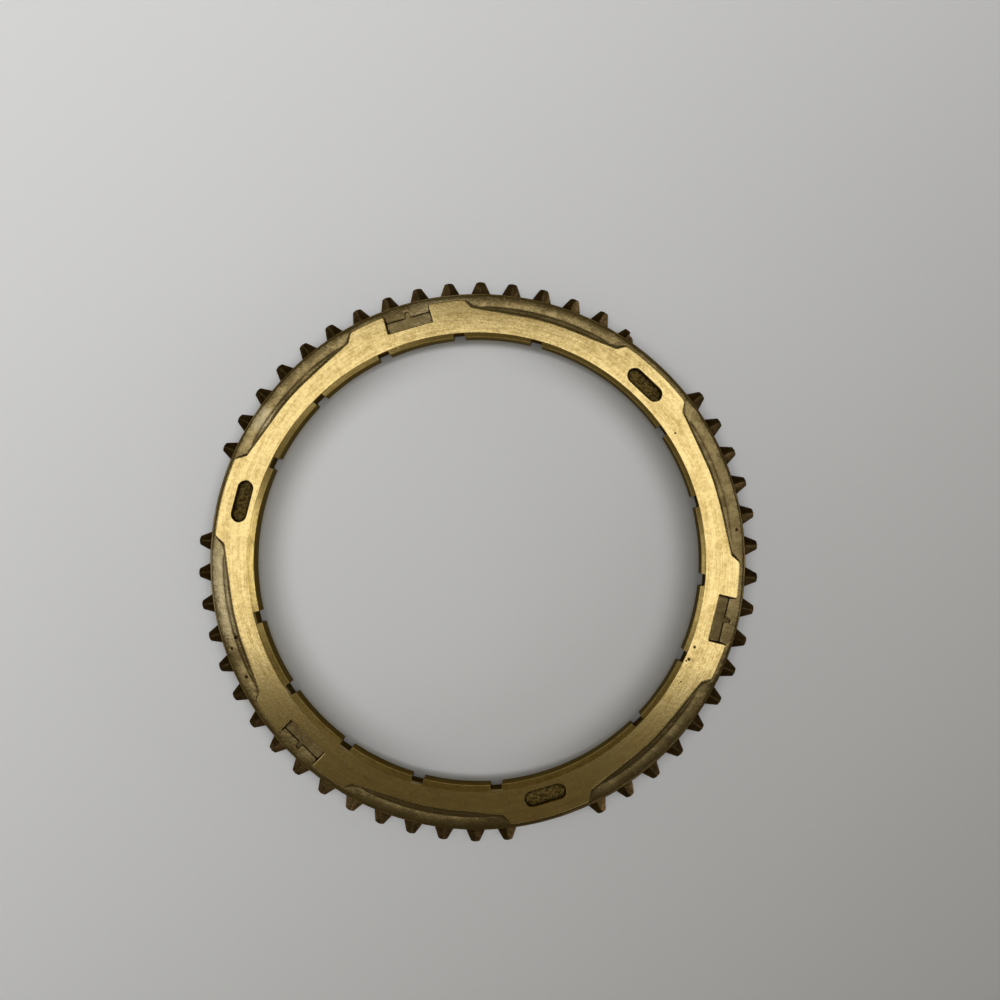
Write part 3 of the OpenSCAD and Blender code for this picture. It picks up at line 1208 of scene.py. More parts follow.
        # The fillet at the root of the roof: how far out from the wall, and how far above the roof
        for out, lift in ((0.05, 0.12), (0.18, 0.02)):
            plan = between(root, tooth, np.minimum(out / np.maximum(length, TINY), 0.1))
            rows.append(self.row(plan, roof + lift + 0.2 * flat * (1.0 - out), Zone.TEETH, 0.3 * ridge, 0.8))
        for share in (0.34, 0.67):
            plan = between(root, tooth, share)
            rows.append(self.row(plan, roof + drop * (0.1 - share), Zone.TEETH, ridge, 0.2))
        edge_r = self.tooth_edge_r
        inset = c.tooth_normal * np.minimum(edge_r, 0.2 * length)[:, None]
        low = roof - edge_r - drop
        rows += [
            self.row(tooth - inset, roof - 0.8 * drop, Zone.TEETH, ridge, 0.0),
            self.row(tooth - 0.3 * inset, roof - 0.3 * edge_r - 0.9 * drop, Zone.TEETH, 0.6, 0.0),
            self.row(tooth, low, Zone.TEETH, 0.2, 0.1),
            self.row(tooth, 0.5 * low + 0.08, Zone.TEETH, 0.0, 0.3),
            self.row(tooth, edge_r, Zone.TEETH, 0.0, 0.3),
            self.row(tooth - 0.05 * c.tooth_normal, 0.05, Zone.TEETH, 0.3, 0.2),
            self.row(tooth - edge_r * c.tooth_normal, 0.0, Zone.FACE, 0.3, 0.2),
        ]
        return rows

    def back_rows(self, c: Columns) -> list[Row]:
        """Rows over the flat gear-side face, from the teeth in to the throat.

        Args:
            c: The columns of one third.

        Returns:
            The rows, in order round the section.
        """
        gap = c.bore_angle - c.root_angle
        steps = zip((self.rim_r - 0.7, *self.back_radii), (0.0, 0.5, 1.0))
        plans = [polar(radius, c.root_angle + share * gap) for radius, share in steps]
        return [self.row(plan, 0.0, Zone.FACE) for plan in plans]

    def rows(self) -> list[Row]:
        """The rows of the whole ring, the three thirds joined, in the frame's own angles.

        Returns:
            Every row, in order round the section.
        """
        bands = (
            self.bore_rows,
            self.face_rows,
            self.wall_rows,
            self.rim_rows,
            self.tooth_rows,
            self.back_rows,
        )
        thirds = [self.third(slot) for slot in SLOT_PLACES]
        whole = [[row for band in bands for row in band(c)] for c in thirds]
        joined = []
        for group in zip(*whole):
            plans = [turned(row.plan, slot) for row, slot in zip(group, SLOT_PLACES)]
            joined.append(
                Row(
                    np.concatenate(plans),
                    np.concatenate([row.height for row in group]),
                    group[0].zone,
                    np.concatenate([row.wear for row in group]),
                    np.concatenate([row.grime for row in group]),
                    group[0].crisp,
                )
            )
        return joined

    def forged(self, points: Array, zones: Array) -> Array:
        """Points with the forged stretches lifted by a few hundredths, so that they aren't dead flat.

        Args:
            points: Grid of shape (rows, columns, 3).
            zones: Zone of each row.

        Returns:
            The grid, with the rim's top uneven.
        """
        rough = (zones == Zone.RIM.value)[:, None]
        low = points[:, :, 2] < self.rim_h + self.forge_reach
        plan = points[:, :, :2]
        wave = self.forge_swell * self.rim_waves.at(plan) + self.forge_grain * self.forge_waves.at(plan)
        made = points.copy()
        made[:, :, 2] += np.where(rough & low, np.minimum(wave, self.forge_most), 0.0)
        return made

    @staticmethod
    def quads(count_rows: int, count_columns: int) -> NDArray[np.int64]:
        """Corners of the quads between neighbouring rows and columns of a grid that is closed both ways.

        Args:
            count_rows: How many rows the grid has.
            count_columns: How many columns it has.

        Returns:
            Vertex indices of shape (rows times columns, 4), row by row.
        """
        row_at, column_at = np.meshgrid(np.arange(count_rows), np.arange(count_columns), indexing="ij")
        here = row_at * count_columns
        above = (row_at + 1) % count_rows * count_columns
        beside = (column_at + 1) % count_columns
        corners = (here + column_at, above + column_at, above + beside, here + beside)
        return np.stack(corners, axis=-1).reshape(-1, 4)

    def mark_sharp(self, mesh: bpy.types.Mesh, crisp: NDArray[np.bool_], count_columns: int) -> None:
        """Marks the edges that the shading isn't smoothed across: steep ones, and those along a crisp row.

        Args:
            mesh: The skin's mesh.
            crisp: Whether each row is crisp.
            count_columns: How many columns the grid has.
        """
        mesh.set_sharp_from_angle(angle=math.radians(self.sharp_angle))
        ends = np.empty(2 * len(mesh.edges), dtype=np.int32)
        mesh.edges.foreach_get("vertices", ends)
        row_of = ends.reshape(-1, 2) // count_columns
        along = (row_of[:, 0] == row_of[:, 1]) & crisp[row_of[:, 0]]
        sharp = np.empty(len(mesh.edges), dtype=bool)
        mesh.attributes["sharp_edge"].data.foreach_get("value", sharp)
        mesh.attributes["sharp_edge"].data.foreach_set("value", sharp | along)

    def build(self) -> bpy.types.Object:
        """Makes the skin's mesh: quads between neighbouring rows and columns, closed both ways.

        Returns:
            The object, at the origin, with wear and grime (mostly painted shade) as point attributes and a
            material index per zone.
        """
        rows = self.rows()
        zones = np.array([row.zone.value for row in rows])
        heights = np.stack([row.height for row in rows])
        plans = np.stack([row.plan for row in rows])
        points = self.forged(np.concatenate((plans, heights[:, :, None]), axis=-1), zones)
        count_columns = heights.shape[1]
        quads = self.quads(*heights.shape)
        flat = points.reshape(-1, 3)
        centres = flat[quads].mean(axis=1)
        kinds = np.repeat(zones, count_columns)
        kinds = np.where((kinds == Zone.FACE.value) & self.over_pocket(centres), Zone.POCKET.value, kinds)
        mesh = bpy.data.meshes.new("ring_skin")
        mesh.from_pydata((flat * MM).tolist(), [], quads.tolist())
        for name, values in (("wear", [row.wear for row in rows]), ("grime", [row.grime for row in rows])):
            layer = mesh.attributes.new(name, "FLOAT", "POINT")
            layer.data.foreach_set("value", np.stack(values).reshape(-1).astype(np.float32))
        mesh.polygons.foreach_set("material_index", kinds.astype(np.int32))
        mesh.polygons.foreach_set("use_smooth", np.ones(len(quads), dtype=bool))
        mesh.update()
        self.mark_sharp(mesh, np.array([row.crisp for row in rows]), count_columns)
        skin = bpy.data.objects.new("ring_skin", mesh)
        bpy.context.scene.collection.objects.link(skin)
        even = skin.modifiers.new("even_normals", "WEIGHTED_NORMAL")
        even.keep_sharp = True
        even.weight = EVEN_WEIGHT
        return skin

    @staticmethod
    def dress(skin: bpy.types.Object, shared: "SharedEffects") -> None:
        """Gives each zone of the skin its finish, in material slot order.

        Args:
            skin: The skin that was built.
            shared: Node groups that the finishes use.
        """
        finishes = ring_finishes()
        for zone in Zone:
            skin.data.materials.append(finishes[zone].material(shared))

    def over_pocket(self, centres: Array) -> Array:
        """Whether points of the hub-side face lie in one of the three pockets.

        Args:
            centres: Points of shape (count, 3).

        Returns:
            One answer per point.
        """
        angle = bearing(centres[:, :2])
        lug = np.round((angle - HALF_THIRD) / THIRD) * THIRD + HALF_THIRD
        inside = self.pocket_depth_at(turned(centres[:, :2], -lug)) > self.pocket_border
        return inside & (centres[:, 2] > self.height / 2)


def ring_sizes() -> tuple[float, float]:
    """Tooth tip radius and height of the ring in millimetres, read from the frame."""
    low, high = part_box(NODE)
    return high.y / MM, (high.z - low.z) / MM


Socket = bpy.types.NodeSocket
Colour = tuple[float, float, float]
Value = Socket | float | Colour

# Inputs of a node that keeps them as they come
EMPTY: Mapping[str | int, Value] = {}


class Sheet:
    """Lays shader nodes on a node tree and joins them."""

    def __init__(self, tree: bpy.types.NodeTree) -> None:
        """Takes the tree that the nodes go on."""
        self.tree = tree

    def node(self, kind: str, given: Mapping[str | int, Value] = EMPTY, **settings: object) -> bpy.types.Node:
        """Adds a node.

        Args:
            kind: The node's type.
            given: What its inputs get, by their names or numbers.
            **settings: Its own properties.

        Returns:
            The node.
        """
        made = self.tree.nodes.new(kind)
        for name, value in settings.items():
            setattr(made, name, value)
        for key, value in given.items():
            self.feed(made.inputs[key], value)
        return made

    def feed(self, socket: Socket, value: Value) -> None:
        """Links a socket's value from another socket, or sets it to a number or a colour.

        Args:
            socket: The input.
            value: What it gets.
        """
        if isinstance(value, bpy.types.NodeSocket):
            self.tree.links.new(value, socket)
        elif isinstance(value, tuple) and len(socket.default_value) == 4:
            socket.default_value = (*value, 1.0)
        else:
            socket.default_value = value

    def maths(self, operation: str, *values: Value, clamp: bool = False) -> Socket:
        """The result of a Math node."""
        given = dict(enumerate(values))
        return self.node("ShaderNodeMath", given, operation=operation, use_clamp=clamp).outputs[0]

    def weighted(self, parts: Sequence[tuple[Value, float]]) -> Socket:
        """The sum of values, each times its own weight.

        Args:
            parts: Values and their weights.

        Returns:
            The sum.
        """
        value, weight = parts[0]
        total = self.maths("MULTIPLY", value, weight)
        for value, weight in parts[1:]:
            total = self.maths("ADD", total, self.maths("MULTIPLY", value, weight))
        return total

    def bump(self, shader: bpy.types.Node, height: Socket, strength: float, distance: float) -> None:
        """Bumps a shader's normal by a height.

        Args:
            shader: The Principled BSDF.
            height: The height over the surface.
            strength: How strong the bump is.
            distance: How deep a height of 1 is, in millimetres.
        """
        given = {"Strength": strength, "Distance": distance * MM, "Height": height}
        self.feed(shader.inputs["Normal"], self.node("ShaderNodeBump", given).outputs["Normal"])

    def along(self, place: Value, photo_angle: float) -> Socket:
        """How far a place lies towards a photo angle: its dot product with that direction."""
        x, y = polar(1.0, photo_angle + PHOTO_TURN)
        return self.vector("DOT_PRODUCT", place, (float(x), float(y), 0.0)).outputs["Value"]

    def vector(self, operation: str, *values: Value) -> bpy.types.Node:
        """A Vector Math node."""
        return self.node("ShaderNodeVectorMath", dict(enumerate(values)), operation=operation)

    def ramp(self, value: Value, low: float, high: float) -> Socket:
        """A soft step of a value from 0 at low to 1 at high."""
        given = {"Value": value, "From Min": low, "From Max": high}
        return self.node("ShaderNodeMapRange", given, interpolation_type="SMOOTHSTEP").outputs["Result"]

    def spread(self, value: Value, low: float, high: float) -> Socket:
        """A value from 0 to 1 spread over a range."""
        given = {"Value": value, "To Min": low, "To Max": high}
        return self.node("ShaderNodeMapRange", given).outputs["Result"]

    def blend(self, share: Value, first: Value, second: Value) -> Socket:
        """A colour between two others."""
        return self.node("ShaderNodeMix", {0: share, 6: first, 7: second}, data_type="RGBA").outputs[2]

    def noise(self, place: Value, scale: Value, detail: float = 2.0, roughness: float = 0.5) -> Socket:
        """The value of a Noise texture."""
        given = {"Vector": place, "Scale": scale, "Detail": detail, "Roughness": roughness}
        return self.node("ShaderNodeTexNoise", given).outputs["Fac"]

    def place(self) -> Socket:
        """Object coordinates."""
        return self.node("ShaderNodeTexCoord").outputs["Object"]

    def painted(self, name: str) -> Socket:
        """The value of a point attribute of the mesh."""
        return self.node("ShaderNodeAttribute", attribute_name=name).outputs["Fac"]

    def effect(self, group: bpy.types.NodeTree, **values: Value) -> bpy.types.Node:
        """Places a shared node group with its own values."""
        given = {name.replace("_", " ").capitalize(): value for name, value in values.items()}
        return self.node("ShaderNodeGroup", given, node_tree=group)

    def finish(self, **values: Value) -> bpy.types.NodeTree:
        """Ends a node group with its outputs and gives the group."""
        self.node("NodeGroupOutput", {name.capitalize(): value for name, value in values.items()})
        return self.tree


def new_group(name: str, inputs: dict[str, str], outputs: tuple[str, ...]) -> tuple[Sheet, bpy.types.Node]:
    """An empty shader node group with named sockets.

    Args:
        name: The group's name.
        inputs: Socket kind, Float or Vector, by input name.
        outputs: Names of its outputs, all of them numbers.

    Returns:
        A sheet to lay its nodes on, and the node that gives its inputs.
    """
    tree = bpy.data.node_groups.new(name, "ShaderNodeTree")
    for label, kind in inputs.items():
        tree.interface.new_socket(name=label, in_out="INPUT", socket_type=f"NodeSocket{kind}")
    for label in outputs:
        tree.interface.new_socket(name=label, in_out="OUTPUT", socket_type="NodeSocketFloat")
    sheet = Sheet(tree)
    return sheet, sheet.node("NodeGroupInput")


@dataclass(frozen=True)
class SharedEffects:
    """Node groups that several finishes use."""

    streaks: bpy.types.NodeTree
    grain: bpy.types.NodeTree
    wear: bpy.types.NodeTree
    grime: bpy.types.NodeTree
    pit: bpy.types.NodeTree

    @classmethod
    def build(cls) -> "SharedEffects":
        """Builds each group once.

        Returns:
            The groups.
        """
        return cls(
            streaks=cls.streak_group(),
            grain=cls.grain_group(),
            wear=cls.wear_group(),
            grime=cls.corner_shade_group(),
            pit=cls.pit_group(),
        )

    @staticmethod
    def streak_group() -> bpy.types.NodeTree:
        """Turning marks: noise stretched round the axis, read at direction over length, radius over width.

        Returns:
            The group.
        """
        sheet, given = new_group("turning_streaks", {"Length": "Float", "Width": "Float"}, ("Streaks",))
        flat = sheet.vector("MULTIPLY", sheet.place(), (1.0, 1.0, 0.0)).outputs[0]
        radius = sheet.vector("LENGTH", flat).outputs["Value"]
        course = sheet.vector("NORMALIZE", flat).outputs[0]
        scale = sheet.maths("DIVIDE", STREAK_R, given.outputs["Length"])
        turns = sheet.node("ShaderNodeVectorMath", {0: course, "Scale": scale}, operation="SCALE")
        rings = sheet.maths("DIVIDE", sheet.maths("MULTIPLY", radius, 1.0 / MM), given.outputs["Width"])
        lift = sheet.node("ShaderNodeCombineXYZ", {"Z": rings})
        spot = sheet.vector("ADD", turns.outputs[0], lift.outputs[0]).outputs[0]
        return sheet.finish(streaks=sheet.noise(spot, 1.0, 3.0, 0.6))

    @staticmethod
    def grain_group() -> bpy.types.NodeTree:
        """Grain and blotches of the metal: fine and coarse noise on Object coordinates, in millimetres.

        Returns:
            The group.
        """
        inputs = {"Grain size": "Float", "Blotch size": "Float"}
        sheet, given = new_group("metal_grain", inputs, ("Grain", "Blotches"))
        place = sheet.place()
        fine = sheet.maths("DIVIDE", 1.0 / MM, given.outputs["Grain size"])
        coarse = sheet.maths("DIVIDE", 1.0 / MM, given.outputs["Blotch size"])
        blotches = sheet.ramp(sheet.noise(place, coarse, 4.0, 0.62), 0.32, 0.68)
        return sheet.finish(grain=sheet.noise(place, fine, 3.0, 0.6), blotches=blotches)

    @staticmethod
    def wear_group() -> bpy.types.NodeTree:
        """Edge wear: the painted wear, broken up by noise so that it comes and goes along an edge.

        Returns:
            The group.
        """
        sheet, given = new_group("edge_wear", {"Amount": "Float"}, ("Worn",))
        patches = sheet.ramp(sheet.noise(sheet.place(), 420.0, 3.0, 0.6), 0.3, 0.62)
        worn = sheet.maths("MULTIPLY", sheet.painted("wear"), patches)
        return sheet.finish(worn=sheet.maths("MULTIPLY", worn, given.outputs["Amount"], clamp=True))

    @staticmethod
    def corner_shade_group() -> bpy.types.NodeTree:
        """Painted shade in the corners and hollows: the painted grime attribute, with a ragged border from
        noise.

        Returns:
            The group.
        """
        sheet, given = new_group("corner_shade", {"Amount": "Float"}, ("Grime",))
        ragged = sheet.spread(sheet.noise(sheet.place(), 700.0, 4.0, 0.65), -0.2, 0.2)
        sum_up = sheet.maths("ADD", sheet.painted("grime"), ragged)
        held = sheet.maths("MULTIPLY", sheet.ramp(sum_up, 0.15, 1.0), given.outputs["Amount"], clamp=True)
        return sheet.finish(grime=held)

    @staticmethod
    def pit_group() -> bpy.types.NodeTree:
        """One small pit: a soft spot round a place, with a ragged border.

        Returns:
            The group.
        """
        sheet, given = new_group("surface_pit", {"Middle": "Vector", "Size": "Float"}, ("Pit",))
        place = sheet.place()
        apart = sheet.vector("DISTANCE", place, given.outputs["Middle"]).outputs["Value"]
        ragged = sheet.spread(sheet.noise(place, 2600.0, 2.0), 0.55, 1.45)
        share = sheet.maths("DIVIDE", sheet.maths("MULTIPLY", apart, ragged), given.outputs["Size"])
        return sheet.finish(pit=sheet.ramp(share, 1.0, 0.45))


@dataclass(frozen=True)
class Pit:
    """A pit or nick, and also the shape of a patch of painted light: photo angle, radius and height in
    millimetres, and size.
    """

    photo_angle: float
    radius: float
    height: float
    size: float

    def middle(self) -> tuple[float, float, float]:
        """Its place in the frame, in metres."""
        x, y = polar(self.radius * MM, self.photo_angle + PHOTO_TURN)
        return (float(x), float(y), self.height * MM)


def new_material(name: str, metallic: float) -> tuple[bpy.types.Material, Sheet, bpy.types.Node]:
    """An empty material with its Principled BSDF.

    Args:
        name: The material's name.
        metallic: How metallic it is.

    Returns:
        The material, a sheet for its nodes, and the shader.
    """
    made = bpy.data.materials.new(name)
    made.use_nodes = True
    shader = made.node_tree.nodes["Principled BSDF"]
    shader.inputs["Metallic"].default_value = metallic
    return made, Sheet(made.node_tree), shader


def pitted(sheet: Sheet, shared: SharedEffects, pits: Sequence[Pit]) -> Socket | float:
    """The mask of several pits together, the strongest of them at each point.

    Args:
        sheet: The material's sheet of nodes.
        shared: Node groups that the finishes use.
        pits: The pits.

    Returns:
        The mask, or a plain 0 without pits.
    """
    mask: Socket | float = 0.0
    for pit in pits:
        spot = sheet.effect(shared.pit, middle=pit.middle(), size=pit.size * MM).outputs["Pit"]
        mask = spot if mask == 0.0 else sheet.maths("MAXIMUM", mask, spot)
    return mask


@dataclass(frozen=True)
class TurnedBrass:
    """Bright machined brass: gold with turning marks, a mottled grain, worn edges and a few pits.

    A thread pitch adds the fine turned thread of a friction surface. The edge tint colours its grazing
    reflections.
    """

    name: str
    bright: Colour
    dull: Colour
    dark: Colour
    roughness: tuple[float, float]
    streak: tuple[float, float]
    streak_bump: float
    grime: float
    pits: tuple[Pit, ...] = ()
    thread_pitch: float = 0.0
    edge_tint: Colour = (1.0, 1.0, 1.0)
    bump: float = 0.13
    bump_depth: float = 0.04

    def material(self, shared: SharedEffects) -> bpy.types.Material:
        """Mixes bright and dull gold by grain and streaks, darkens pits and painted shade, and bumps the same
        marks.

        Args:
            shared: Node groups that the finishes use.

        Returns:
            The material.
        """
        made, sheet, shader = new_material(self.name, 1.0)
        shader.inputs["Specular Tint"].default_value = (*self.edge_tint, 1.0)
        length, width = self.streak
        marks = sheet.effect(shared.streaks, length=length, width=width).outputs["Streaks"]
        broad = sheet.effect(shared.streaks, length=4.0 * length, width=5.0 * width).outputs["Streaks"]
        metal = sheet.effect(shared.grain, grain_size=0.45, blotch_size=3.4)
        mottle = sheet.effect(shared.grain, grain_size=0.16, blotch_size=0.95)
        tone = sheet.weighted(
            (
                (sheet.ramp(marks, 0.34, 0.68), 0.2),
                (metal.outputs["Blotches"], 0.2),
                (mottle.outputs["Blotches"], 0.2),
                (sheet.ramp(metal.outputs["Grain"], 0.4, 0.64), 0.14),
                (sheet.ramp(broad, 0.35, 0.65), 0.16),
            )
        )
        tone = sheet.ramp(tone, 0.1, 0.9)
        colour = sheet.blend(tone, self.bright, self.dull)
        worn = sheet.effect(shared.wear, amount=0.5).outputs["Worn"]
        colour = sheet.blend(worn, colour, self.bright)
        # Painted shade in the hollows, with the real pits
        shade_and_pits = sheet.effect(shared.grime, amount=self.grime).outputs["Grime"]
        spots = pitted(sheet, shared, self.pits)
        shade_and_pits = sheet.maths("MAXIMUM", shade_and_pits, spots)
        colour = sheet.blend(shade_and_pits, colour, self.dark)
        sheet.feed(shader.inputs["Base Color"], colour)
        sheen = sheet.spread(tone, *self.roughness)
        sheet.feed(shader.inputs["Roughness"], sheet.weighted(((sheen, 1.0), (shade_and_pits, 0.25))))
        height = sheet.weighted(
            (
                (marks, self.streak_bump),
                (metal.outputs["Grain"], 0.5),
                (mottle.outputs["Blotches"], 0.35),
                (spots, -3.0),
            )
        )
        if self.thread_pitch:
            split = sheet.node("ShaderNodeSeparateXYZ", {0: sheet.place()})
            turns = sheet.maths("MULTIPLY", split.outputs["Z"], 2.0 * math.pi / (self.thread_pitch * MM))
            height = sheet.maths("ADD", height, sheet.maths("SINE", turns))
        sheet.bump(shader, height, self.bump, self.bump_depth)
        return made


@dataclass(frozen=True)
class ForgedBrass:
    """As-forged brass: dull, blotched and grainy, with painted shade in its corners, and rubbed bright on its
    edges.

    Painted shade darkens it towards one side of the ring, and its patches are painted light: stretches
    lightened to the rubbed colour.
    Contrast is the range of tone that goes from light to deep. The edge tint colours its grazing reflections.
    """

    name: str
    light: Colour
    deep: Colour
    dark: Colour
    rubbed_and_lit: Colour
    metallic: float
    roughness: tuple[float, float]
    blotch: float
    grain: float
    bump: float
    wear: float
    grime: float
    pits: tuple[Pit, ...] = ()
    patches: tuple[Pit, ...] = ()
    side_shade: float = 0.0
    bump_depth: float = 0.08
    contrast: tuple[float, float] = (0.0, 1.0)
    edge_tint: Colour = (1.0, 1.0, 1.0)

    def material(self, shared: SharedEffects) -> bpy.types.Material:
        """Mixes light and deep tones by blotches and grain, then painted side shade, painted lit patches,
        painted corner shade with pits, and rubbed edges.

        Args:
            shared: Node groups that the finishes use.

        Returns:
            The material.
        """
        made, sheet, shader = new_material(self.name, self.metallic)
        shader.inputs["Specular Tint"].default_value = (*self.edge_tint, 1.0)
        metal = sheet.effect(shared.grain, grain_size=self.grain, blotch_size=self.blotch)
        small = sheet.effect(shared.grain, grain_size=0.4 * self.grain, blotch_size=0.3 * self.blotch)
        tone = sheet.weighted(
            (
                (metal.outputs["Blotches"], 0.5),
                (small.outputs["Blotches"], 0.3),
                (sheet.ramp(metal.outputs["Grain"], 0.3, 0.7), 0.2),
            )
        )
        tone = sheet.ramp(tone, *self.contrast)
        colour = sheet.blend(tone, self.light, self.deep)
        # Painted shade: darker towards one side of the ring
        if self.side_shade:
            across = sheet.along(sheet.place(), SHADED_SIDE)
            shaded = sheet.maths("MULTIPLY", sheet.ramp(across, -0.012, 0.058), self.side_shade)
            colour = sheet.blend(shaded, colour, tuple(0.45 * v for v in self.deep))
        # Painted light: patches lightened to the rubbed colour
        if self.patches:
            colour = sheet.blend(pitted(sheet, shared, self.patches), colour, self.rubbed_and_lit)
        # Painted shade in the corners, with the real pits
        shade_and_pits = sheet.effect(shared.grime, amount=self.grime).outputs["Grime"]
        spots = pitted(sheet, shared, self.pits)
        shade_and_pits = sheet.maths("MAXIMUM", shade_and_pits, spots)
        colour = sheet.blend(shade_and_pits, colour, self.dark)
        worn = sheet.effect(shared.wear, amount=self.wear).outputs["Worn"]
        colour = sheet.blend(worn, colour, self.rubbed_and_lit)
        sheet.feed(shader.inputs["Base Color"], colour)
        sheen = sheet.spread(tone, *self.roughness)
        sheet.feed(shader.inputs["Roughness"], sheet.weighted(((sheen, 1.0), (shade_and_pits, 0.15), (worn, -0.12))))
        height = sheet.weighted(
            (
                (metal.outputs["Grain"], 1.0),
                (small.outputs["Grain"], 0.4),
                (small.outputs["Blotches"], 0.8),
                (spots, -2.0),
            )
        )
        sheet.bump(shader, height, self.bump, self.bump_depth)
        return made


FACE_PITS = (
    Pit(334.7, 55.8, 11.5, 0.5),
    Pit(334.1, 55.4, 11.5, 0.32),
    Pit(338.0, 55.9, 11.5, 0.46),
    Pit(329.0, 56.6, 11.5, 0.26),
    Pit(32.5, 56.4, 11.5, 0.34),
)
RIM_PITS = (
    Pit(6.5, 63.0, 9.25, 0.5),
    Pit(198.0, 61.2, 9.25, 0.7),
    Pit(200.0, 63.0, 9.25, 0.5),
    Pit(207.0, 62.4, 9.25, 0.55),
)

# Stretches of the rim painted lighter, as painted light. The last one's middle is above the rim, so it only
# tints it
RIM_LIT_PATCHES = (
    Pit(187.0, 62.6, 9.25, 15.0),
    Pit(147.0, 62.8, 9.25, 4.0),
    Pit(98.0, 62.8, 18.7, 14.0),
)


def ring_finishes() -> dict[Zone, TurnedBrass | ForgedBrass]:
    """The finish of each zone of the skin.

    Returns:
        Finishes by zone.
    """
    face = TurnedBrass(
        name="turned_face",
        bright=(0.93, 0.72, 0.32),
        dull=(0.50, 0.345, 0.11),
        dark=(0.10, 0.068, 0.024),
        roughness=(0.13, 0.19),
        streak=(7.0, 0.3),
        streak_bump=0.6,
        grime=0.85,
        pits=FACE_PITS,
    )
    # The cone's colours are darker than the face's: partly its own duller finish, partly painted shade inside
    # the bore
    cone = TurnedBrass(
        name="friction_cone",
        bright=(0.33, 0.25, 0.032),
        dull=(0.15, 0.105, 0.012),
        dark=(0.03, 0.02, 0.004),
        roughness=(0.26, 0.4),
        streak=(9.0, 0.4),
        streak_bump=0.4,
        grime=0.9,
        thread_pitch=0.5,
        edge_tint=(0.29, 0.22, 0.04),
    )
    mouth = TurnedBrass(
        name="mouth_chamfer",
        bright=(0.80, 0.60, 0.22),
        dull=(0.42, 0.29, 0.08),
        dark=(0.06, 0.04, 0.012),
        roughness=(0.27, 0.36),
        streak=(9.0, 0.22),
        streak_bump=0.6,
        grime=0.9,
    )
    # The rim is painted darker towards one side as painted shade, and lighter in patches as painted light
    rim = ForgedBrass(
        name="forged_rim",
        light=(0.48, 0.37, 0.17),
        deep=(0.27, 0.195, 0.08),
        dark=(0.05, 0.034, 0.012),
        rubbed_and_lit=(0.64, 0.52, 0.29),
        metallic=0.95,
        roughness=(0.21, 0.33),
        blotch=4.2,
        grain=0.5,
        bump=0.22,
        wear=0.5,
        grime=0.85,
        pits=RIM_PITS,
        patches=RIM_LIT_PATCHES,
        side_shade=0.62,
        edge_tint=(0.22, 0.16, 0.07),
    )
    teeth = ForgedBrass(
        name="dark_teeth",
        light=(0.155, 0.1, 0.041),
        deep=(0.065, 0.04, 0.015),
        dark=(0.018, 0.011, 0.005),
        rubbed_and_lit=(0.46, 0.34, 0.16),
        metallic=0.95,
        roughness=(0.26, 0.36),
        blotch=2.6,
        grain=0.4,
        bump=0.35,
        wear=0.3,
        grime=0.8,
        edge_tint=(0.14, 0.09, 0.04),
    )
    pocket = ForgedBrass(
        name="pocket_floor",
        light=(1.0, 0.75, 0.27),
        deep=(0.22, 0.148, 0.042),
        dark=(0.03, 0.02, 0.007),
        rubbed_and_lit=(0.5, 0.38, 0.16),
        metallic=0.4,
        roughness=(0.28, 0.5),
        blotch=0.8,
        grain=0.34,
        bump=1.0,
        wear=0.3,
        grime=0.97,
        bump_depth=0.45,
        contrast=(0.36, 0.74),
        edge_tint=(0.62, 0.43, 0.13),
    )
    return {
        Zone.FACE: face,
        Zone.CONE: cone,
        Zone.RIM: rim,
        Zone.TEETH: teeth,
        Zone.POCKET: pocket,
        Zone.MOUTH: mouth,
    }


